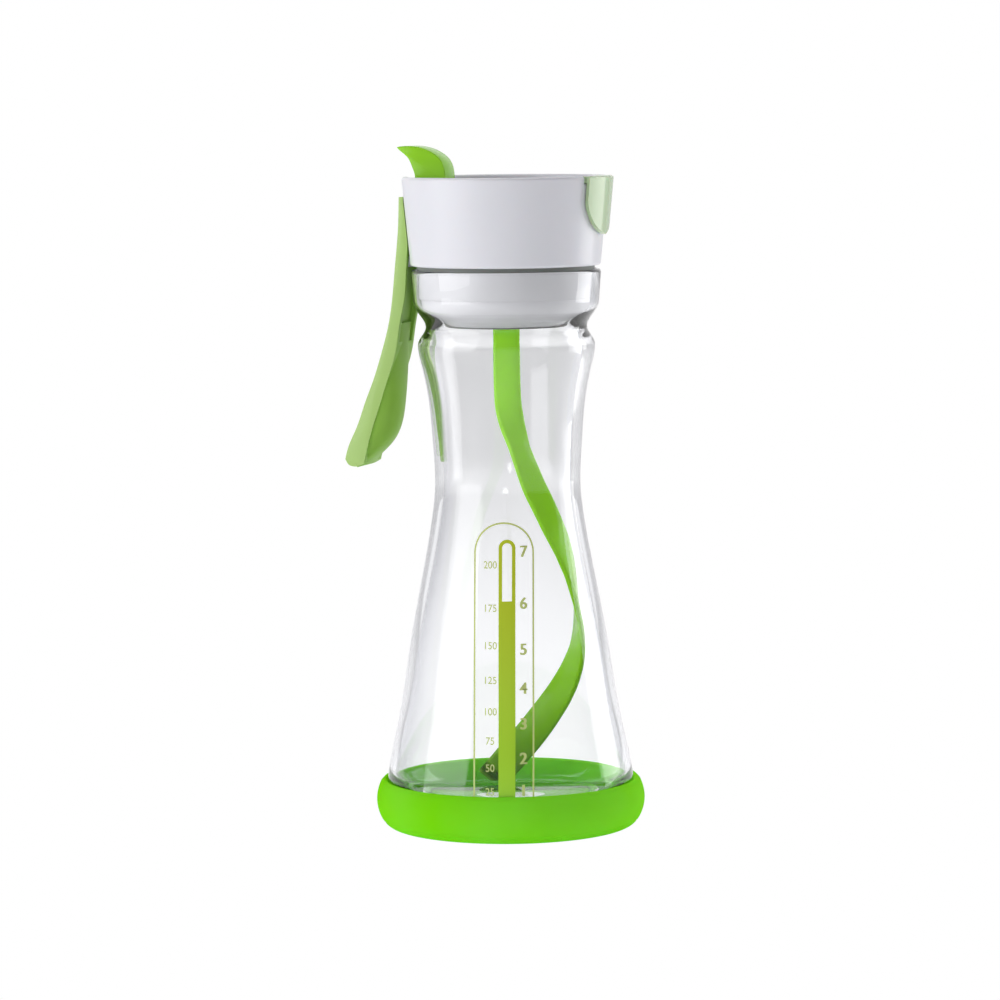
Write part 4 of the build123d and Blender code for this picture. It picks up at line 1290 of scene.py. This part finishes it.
@dataclass
class TriggerLever:
    """The long trigger: a strap over the lid's wall that swells to a hull beside the waist."""

    finishes: Finishes
    lid: LidWall = field(default_factory=LidWall)
    pivot: Pair = (-31.0, 177.0)
    reach: float = 64.3
    out: float = 20.1
    half_w: float = 8.0
    wall: float = 2.0
    top_x: float = -28.6
    hull_step: float = 0.15
    hull_taper: float = 0.08
    hull_round: float = 3.2
    hull_steps: int = 44
    outer_shares: tuple[Pair, ...] = (
        (0.062, -0.314), (0.078, -0.171), (0.130, 0.000), (0.165, 0.109), (0.249, 0.295), (0.393, 0.459),
        (0.517, 0.575), (0.667, 0.692), (0.806, 0.809), (0.965, 0.920), (1.000, 0.964),
    )
    tip_shares: tuple[Pair, ...] = ((1.000, 0.964), (0.950, 0.990), (0.860, 1.000), (0.770, 0.997), (0.690, 0.983))
    strap_shares: tuple[Pair, ...] = (
        (0.690, 0.983), (0.625, 0.900), (0.540, 0.809), (0.410, 0.692), (0.285, 0.575), (0.160, 0.459),
        (0.070, 0.295), (-0.012, 0.171), (-0.050, 0.020),
    )
    hull_shares: tuple[Pair, ...] = (
        (0.690, 0.983), (0.547, 0.943), (0.400, 0.900), (0.275, 0.845), (0.185, 0.762), (0.140, 0.645),
        (0.120, 0.513), (0.114, 0.404), (0.098, 0.300),
    )
    channel_shares: tuple[Pair, ...] = (
        (0.105, -0.062), (0.130, 0.000), (0.165, 0.109), (0.249, 0.295), (0.330, 0.392)
    )

    def run(self, shares: Sequence[Pair], steps: int, inward: float = 0.0) -> list[Pair]:
        """Run a fair line, free at its ends, through places on the trigger.

        Args:
            shares: the places, as shares of the trigger's reach outward and down.
            steps: number of spans that the line is divided into.
            inward: how far the line is moved towards the bottle.

        Returns:
            Points in X and Z.
        """
        x, z = self.pivot
        p = [(x - self.out * out + inward, z - self.reach * drop) for out, drop in shares]
        start = (p[1][0] - p[0][0], p[1][1] - p[0][1])
        end = (p[-1][0] - p[-2][0], p[-1][1] - p[-2][1])
        return fair_line(p, start, end, steps)

    def channel(self) -> Form:
        """Draw the hollow that opens towards the bottle.

        Returns:
            The hollow as a solid.
        """
        line = self.run(self.channel_shares, 30, self.wall)
        far = self.pivot[0] + 2 * self.out
        return side_plate([*line, (far, line[-1][1]), (far, self.pivot[1] + 4.0)], self.half_w - self.wall)

    def strap(self) -> Piece:
        """Make the strap, clear of the lid, with painted shade on its inner faces, which take the hull's darker green.

        Returns:
            The strap.
        """
        outer = self.run(self.outer_shares, 48)
        tip, inner = self.run(self.tip_shares, 12), self.run(self.strap_shares, 40)
        bm = side_plate([*outer, *tip[1:], *inner[1:], (self.top_x, outer[0][1])], self.half_w)
        bm = cut(cut(bm, self.channel()), self.lid.clearance())
        soften(bm, 0.5, 40)
        made = piece("trigger_strap", bm, Body.TRIGGER, self.finishes.satin, ("trigger_lever",), 35)
        # Painted shade: faces turned towards the bottle take the darker hull copy of the lime.
        made.data.materials.append(self.finishes.hull)
        for face in made.data.polygons:
            flank = abs(face.center.y) > (self.half_w - 0.6) * MM
            face.material_index = 0 if flank or face.normal.x < -0.1 else 1
        return made

    def hull_section(self, far: Pair, near: Pair, half: float) -> list[Vector]:
        """Draw one level of the hull, flat at the strap and round towards the bottle.

        Args:
            far: X and Z of the level at the strap.
            near: X and Z of the level at the bottle's side.
            half: half of the level's width.

        Returns:
            The section's corners.
        """
        shares = [1 - (1 - i / 9) ** 1.6 for i in range(10)]
        side = [(share, half * max(0.0, 1 - share**self.hull_round) ** 0.5) for share in shares]
        corners = [*[(share, -y) for share, y in side], *reversed(side[:-1])]
        out, down = near[0] - far[0], near[1] - far[1]
        return [Vector((far[0] + out * share, y, far[1] + down * share)) for share, y in corners]

    def hull(self) -> Piece:
        """Make the closed hull under the strap, which ends a little short of the strap's tip.

        Returns:
            The hull.
        """
        steps = self.hull_steps
        back = self.run((*self.outer_shares[4:], *self.tip_shares[1:3]), steps, self.wall / 2)
        front = self.run(self.hull_shares[::-1], steps)
        back[-1] = (back[-1][0], back[-1][1] - 0.25)
        front[-1] = (front[-1][0], front[-1][1] - 0.35)
        half = self.half_w - self.hull_step
        halves = [half * (1 - self.hull_taper * (i / steps) ** 7) for i in range(steps + 1)]
        bm = swept([self.hull_section(*level) for level in zip(back, front, halves)])
        bmesh.ops.recalc_face_normals(bm, faces=bm.faces[:])
        # The hull takes the darker copy of the lime, as painted shade.
        return piece("trigger_hull", bm, Body.TRIGGER, self.finishes.hull, sharp_deg=50)

    def build(self) -> list[Piece]:
        """Make the strap and the hull under it."""
        return [self.strap(), self.hull()]


@dataclass
class RibbonPaddle:
    """The winding ribbon that mixes the dressing, with its hub."""

    finishes: Finishes
    radius: float = 23.3
    thick: float = 1.8
    top_w: float = 8.4
    low_w: float = 10.2
    hub_r: float = 4.2
    hub_h: float = 3.0
    hub_top_z: float = 157.05
    bore_r: float = 2.05
    low_z: float = 9.8
    stations: tuple[tuple[float, float, float, float, float], ...] = (
        (0.000, 0.000, -60, -72, 0.0),
        (0.090, 0.000, -60, -72, 0.0),
        (0.156, 0.050, -60, -70, 0.0),
        (0.200, 0.210, -54, -52, 0.0),
        (0.245, 0.390, -49, -30, 0.0),
        (0.286, 0.518, -44, -33, 0.0),
        (0.328, 0.596, -38, -38, 0.0),
        (0.374, 0.683, -29, -32, 0.1),
        (0.414, 0.736, -21, -24, 0.2),
        (0.456, 0.771, -8, -12, 0.4),
        (0.499, 0.808, 6, -3, 0.6),
        (0.542, 0.860, 12, 6, 0.8),
        (0.584, 0.905, 18, 17, 0.95),
        (0.628, 0.960, 26, 26, 1.0),
        (0.673, 1.000, 35, 35, 1.0),
        (0.713, 1.000, 41, 41, 1.0),
        (0.757, 1.000, 52, 52, 1.0),
        (0.802, 0.985, 64, 64, 1.0),
        (0.842, 0.980, 76, 76, 1.0),
        (0.886, 0.985, 89, 89, 1.0),
        (0.931, 1.000, 103, 103, 1.0),
        (0.971, 1.040, 115, 115, 1.0),
        (1.010, 1.080, 127, 127, 1.0),
    )

    def fine_stations(self, steps: int) -> list[tuple[float, ...]]:
        """Even the stations out to a smooth run.

        Args:
            steps: number of stations wanted.

        Returns:
            X, Y, Z, facing in degrees and share of the widening for each.
        """
        table = np.array(self.stations, float)
        radius, bearing = table[:, 1] * self.radius, np.radians(table[:, 2])
        start_z = self.hub_top_z - self.hub_h / 2
        heights = start_z - (start_z - self.low_z) * table[:, 0]
        rows = np.column_stack([radius * np.cos(bearing), radius * np.sin(bearing), heights, table[:, 3], table[:, 4]])
        at = np.linspace(0, len(rows) - 1, steps)
        fine = np.column_stack([np.interp(at, range(len(rows)), rows[:, i]) for i in range(5)])
        for _ in range(6):
            fine[1:-1] = (fine[:-2] + 2 * fine[1:-1] + fine[2:]) / 4
        return [tuple(row) for row in fine]

    def section(self, width: float) -> list[Pair]:
        """Draw the ribbon's cross-section: a thin plate with round edges and a low rib along one side.

        Args:
            width: the ribbon's width.

        Returns:
            The section's corners, across and outward.
        """
        half, t = width / 2, self.thick / 2
        left = [(-half + t * (1 - cos(radians(a))), t * sin(radians(a))) for a in (-90, -45, 0, 45, 90)]
        right = [(half - t * (1 - cos(radians(a))), t * sin(radians(a))) for a in (90, 45, 0, -45, -90)]
        return [*left[:-1], (-half + t, t), (-half + 0.36 * width, t), *right]

    def blade(self) -> Piece:
        """Draw the section down the winding path and trim it at the foot.

        Returns:
            The ribbon.
        """
        rows = self.fine_stations(150)
        path = [Vector(row[:3]) for row in rows]
        sections = []
        for number, row in enumerate(rows):
            if row[2] < self.low_z - 0.5:
                break
            down = (path[min(number + 1, len(path) - 1)] - path[max(number - 1, 0)]).normalized()
            facing = Vector((cos(radians(row[3])), sin(radians(row[3])), 0.0))
            facing = (facing - down * facing.dot(down)).normalized()
            across = down.cross(facing)
            width = self.top_w + (self.low_w - self.top_w) * row[4]
            sections.append([path[number] + across * u + facing * v for u, v in self.section(width)])
        bm = swept(sections)
        sliced(bm, 2, [self.low_z], keep_above=True)
        bmesh.ops.holes_fill(bm, edges=[e for e in bm.edges if e.is_boundary], sides=0)
        bmesh.ops.recalc_face_normals(bm, faces=bm.faces[:])
        return piece("ribbon_blade", bm, Body.PADDLE, self.finishes.ribbon, ("mixing_paddle",), 60)

    def hub(self) -> Piece:
        """Turn the hub, with a blind bore for the shaft.

        Returns:
            The hub.
        """
        low, top, floor = self.hub_top_z - self.hub_h, self.hub_top_z, self.hub_top_z - self.hub_h + 0.85
        profile = [
            (0, low),
            (self.hub_r - 0.5, low),
            (self.hub_r, low + 0.5),
            (self.hub_r, top - 0.4),
            (self.hub_r - 0.4, top),
            (self.bore_r, top),
            (self.bore_r, floor),
            (0, floor),
        ]
        return piece("ribbon_hub", turned(profile, 48, False), Body.PADDLE, self.finishes.ribbon)

    def build(self) -> list[Piece]:
        """Make the ribbon and its hub."""
        return [self.blade(), self.hub()]


@dataclass
class CoilSprings:
    """The two coil springs, copied as they stand; in the bottle their turns close up as the rocker and the rack move.
    """

    finishes: Finishes
    crisp_deg: float = 65.0

    def coil(self, node: Piece, moving: Body, axis: int) -> Piece:
        """Make a smooth copy of a spring, fixed where the frame has it, and hide the frame's spring.

        Args:
            node: the frame's spring, which stays as it is.
            moving: the body at the spring's high end.
            axis: 0 for a spring along X, 2 for one along Z.

        Returns:
            The spring that stands for the node.
        """
        bm = bmesh.new()
        bm.from_mesh(node.data)
        bmesh.ops.remove_doubles(bm, verts=bm.verts[:], dist=0.001 * MM)
        made = smoothed(node.name + "_coil", bm, self.finishes.steel, self.crisp_deg)
        low, high = (Vector(corner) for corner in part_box(node.name))
        start, end = (low + high) / 2, (low + high) / 2
        start[axis], end[axis] = low[axis], high[axis]
        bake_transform(made)
        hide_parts(node.name)
        log.info("%s: %d faces, from lid to %s", made.name, len(made.data.polygons), moving.value)
        return made

    def build(self, nodes: dict[str, Piece]) -> list[Piece]:
        """Make both springs.

        Args:
            nodes: the frame's nodes by name.

        Returns:
            The springs.
        """
        return [
            self.coil(nodes["rocker_spring"], Body.ROCKER, 2),
            self.coil(nodes["trigger_spring"], Body.RACK, 0),
        ]


@dataclass
class Studio:
    """Pale floor, soft lights and the camera at the photographed angle."""

    distance: float = 1.300
    height: float = 0.228
    pitch_deg: float = 5.52
    azimuth_deg: float = 18.0
    roll_deg: float = 0.56
    lens_mm: float = 150.26
    shift: Pair = (-0.008, 0.0)
    floor_glow: float = 0.36
    room_greys: tuple[Pair, ...] = ((0.0, 0.32), (0.5, 0.11), (0.74, 0.30), (0.90, 0.99))

    def camera(self) -> None:
        """Make the camera."""
        a, t = radians(self.azimuth_deg), radians(self.pitch_deg)
        right = Vector((cos(a), sin(a), 0))
        forward = Vector((-sin(a) * cos(t), cos(a) * cos(t), -sin(t)))
        up = right.cross(forward)
        data = bpy.data.cameras.new("camera")
        data.lens = self.lens_mm
        data.sensor_width = 36.0
        data.shift_x, data.shift_y = self.shift
        data.clip_start, data.clip_end = 0.05, 60.0
        made = placed("camera", data)
        turn = Matrix((right, up, -forward)).transposed().to_4x4()
        place = Matrix.Translation((sin(a) * self.distance, -cos(a) * self.distance, self.height))
        made.matrix_world = place @ turn @ Matrix.Rotation(-radians(self.roll_deg), 4, "Z")
        bpy.context.scene.camera = made

    def lamp(
        self,
        name: str,
        bearing_deg: float,
        rise: float,
        away: float,
        size: Pair,
        power: float,
        aim_z: float = 0.11,
        spread_deg: float = 180.0,
    ) -> None:
        """Hang a soft rectangular light that faces the bottle.

        Args:
            name: the light's name.
            bearing_deg: direction from the camera's line of sight, to its right.
            rise: height in metres.
            away: distance from the bottle in metres.
            size: width and height of the light in metres.
            power: strength in watts.
            aim_z: height in metres of the place that it faces.
            spread_deg: angle of its beam.
        """
        data = bpy.data.lights.new(name, "AREA")
        data.shape = "RECTANGLE"
        data.size, data.size_y = size
        data.energy = power
        data.spread = radians(spread_deg)
        made = placed(name, data)
        turn = radians(self.azimuth_deg + bearing_deg)
        made.location = (sin(turn) * away, -cos(turn) * away, rise)
        aim = Vector((0, 0, aim_z)) - made.location
        made.rotation_euler = aim.to_track_quat("-Z", "Y").to_euler()

    def floor(self) -> None:
        """Lay the pale floor, plain white where the camera looks at it."""
        bm = bmesh.new()
        bmesh.ops.create_grid(bm, x_segments=8, y_segments=8, size=12.0)
        floor = solid("floor", bm)
        floor.location.z = -0.0002
        s = Shader.start("floor_paper")
        greys = ((0.3, (0.90, 0.90, 0.90)), (0.7, (0.92, 0.92, 0.92)))
        glow = {"Emission__Strength": self.floor_glow, "Emission__Color": (1.0, 1.0, 1.0, 1.0)}
        skin = s.skin(s.ramp(s.noise(3.0), greys), Roughness=0.9, **glow)
        paper = s.add("ShaderNodeEmission", Strength=1.0).outputs["Emission"]
        floor.data.materials.append(s.finish(s.mixed(skin, paper, s.ray("Is Camera Ray"))))

    def room(self) -> None:
        """Make the room: white to look at and behind the bottle, grey to both sides of it."""
        world = bpy.data.worlds.new("room")
        world.use_nodes = True
        s = Shader(world)
        a = radians(self.azimuth_deg)
        towards = s.add("ShaderNodeVectorMath", operation="DOT_PRODUCT")
        towards.inputs[1].default_value = (-sin(a), cos(a), 0.0)
        s.link(s.add("ShaderNodeTexCoord").outputs["Generated"], towards.inputs[0])
        span = s.add("ShaderNodeMapRange", From__Min=-1.0)
        s.link(towards.outputs["Value"], span.inputs["Value"])
        greys = s.ramp(span.outputs["Result"], [(at, (g, g, min(1.0, g * 1.04))) for at, g in self.room_greys])
        mix = s.add("ShaderNodeMix", data_type="RGBA")
        mix.inputs["B"].default_value = (1.0, 1.0, 1.0, 1.0)
        s.link(s.ray("Is Camera Ray"), mix.inputs["Factor"])
        s.link(greys, mix.inputs["A"])
        s.link(mix.outputs["Result"], world.node_tree.nodes["Background"].inputs["Color"])
        bpy.context.scene.world = world

    def build(self) -> None:
        """Make the whole studio."""
        self.floor()
        self.room()
        self.camera()
        self.lamp("key", -66, 0.45, 1.1, (1.0, 1.2), 8.0)
        self.lamp("low", -4, 0.05, 0.9, (0.6, 0.1), 0.017, 0.012, 14.0)
        self.lamp("rim", 112, 0.30, 1.1, (0.6, 1.2), 6.0)
        self.lamp("top", 175, 1.4, 0.35, (1.0, 0.8), 5.0)
        view = bpy.context.scene.view_settings
        view.view_transform = "Standard"
        view.look = "None"
        log.info("studio ready")


def dress_frame(frame: dict, finishes: Finishes) -> None:
    """Give every node of the frame the finish of its slot, and the plug one of its own.

    Args:
        finishes: the bottle's finishes.
    """
    slots = {row["node"]: Slot(row["material_slot"]) for row in frame["record"]["subparts"]}
    for name, node in frame["nodes"].items():
        node.data.materials.clear()
        node.data.materials.append(finishes.plug if name == "plug_cup" else finishes.of(slots[name]))
    log.info("dressed %d nodes", len(slots))


def main() -> None:
    """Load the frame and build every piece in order."""
    logging.basicConfig(level=logging.INFO, format="%(name)s: %(message)s")
    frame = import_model()
    finishes = Finishes()
    dress_frame(frame, finishes)
    glass = GlassBottle(finishes)
    glass.build()
    Boot(finishes).build()
    PrintedScale(finishes, glass).build()
    PourRocker(finishes).build()
    PlugRim(finishes).build()
    TriggerLever(finishes).build()
    RibbonPaddle(finishes).build()
    CoilSprings(finishes).build(frame["nodes"])
    Studio().build()
    bpy.context.view_layer.update()


if __name__ == "__main__":
    main()
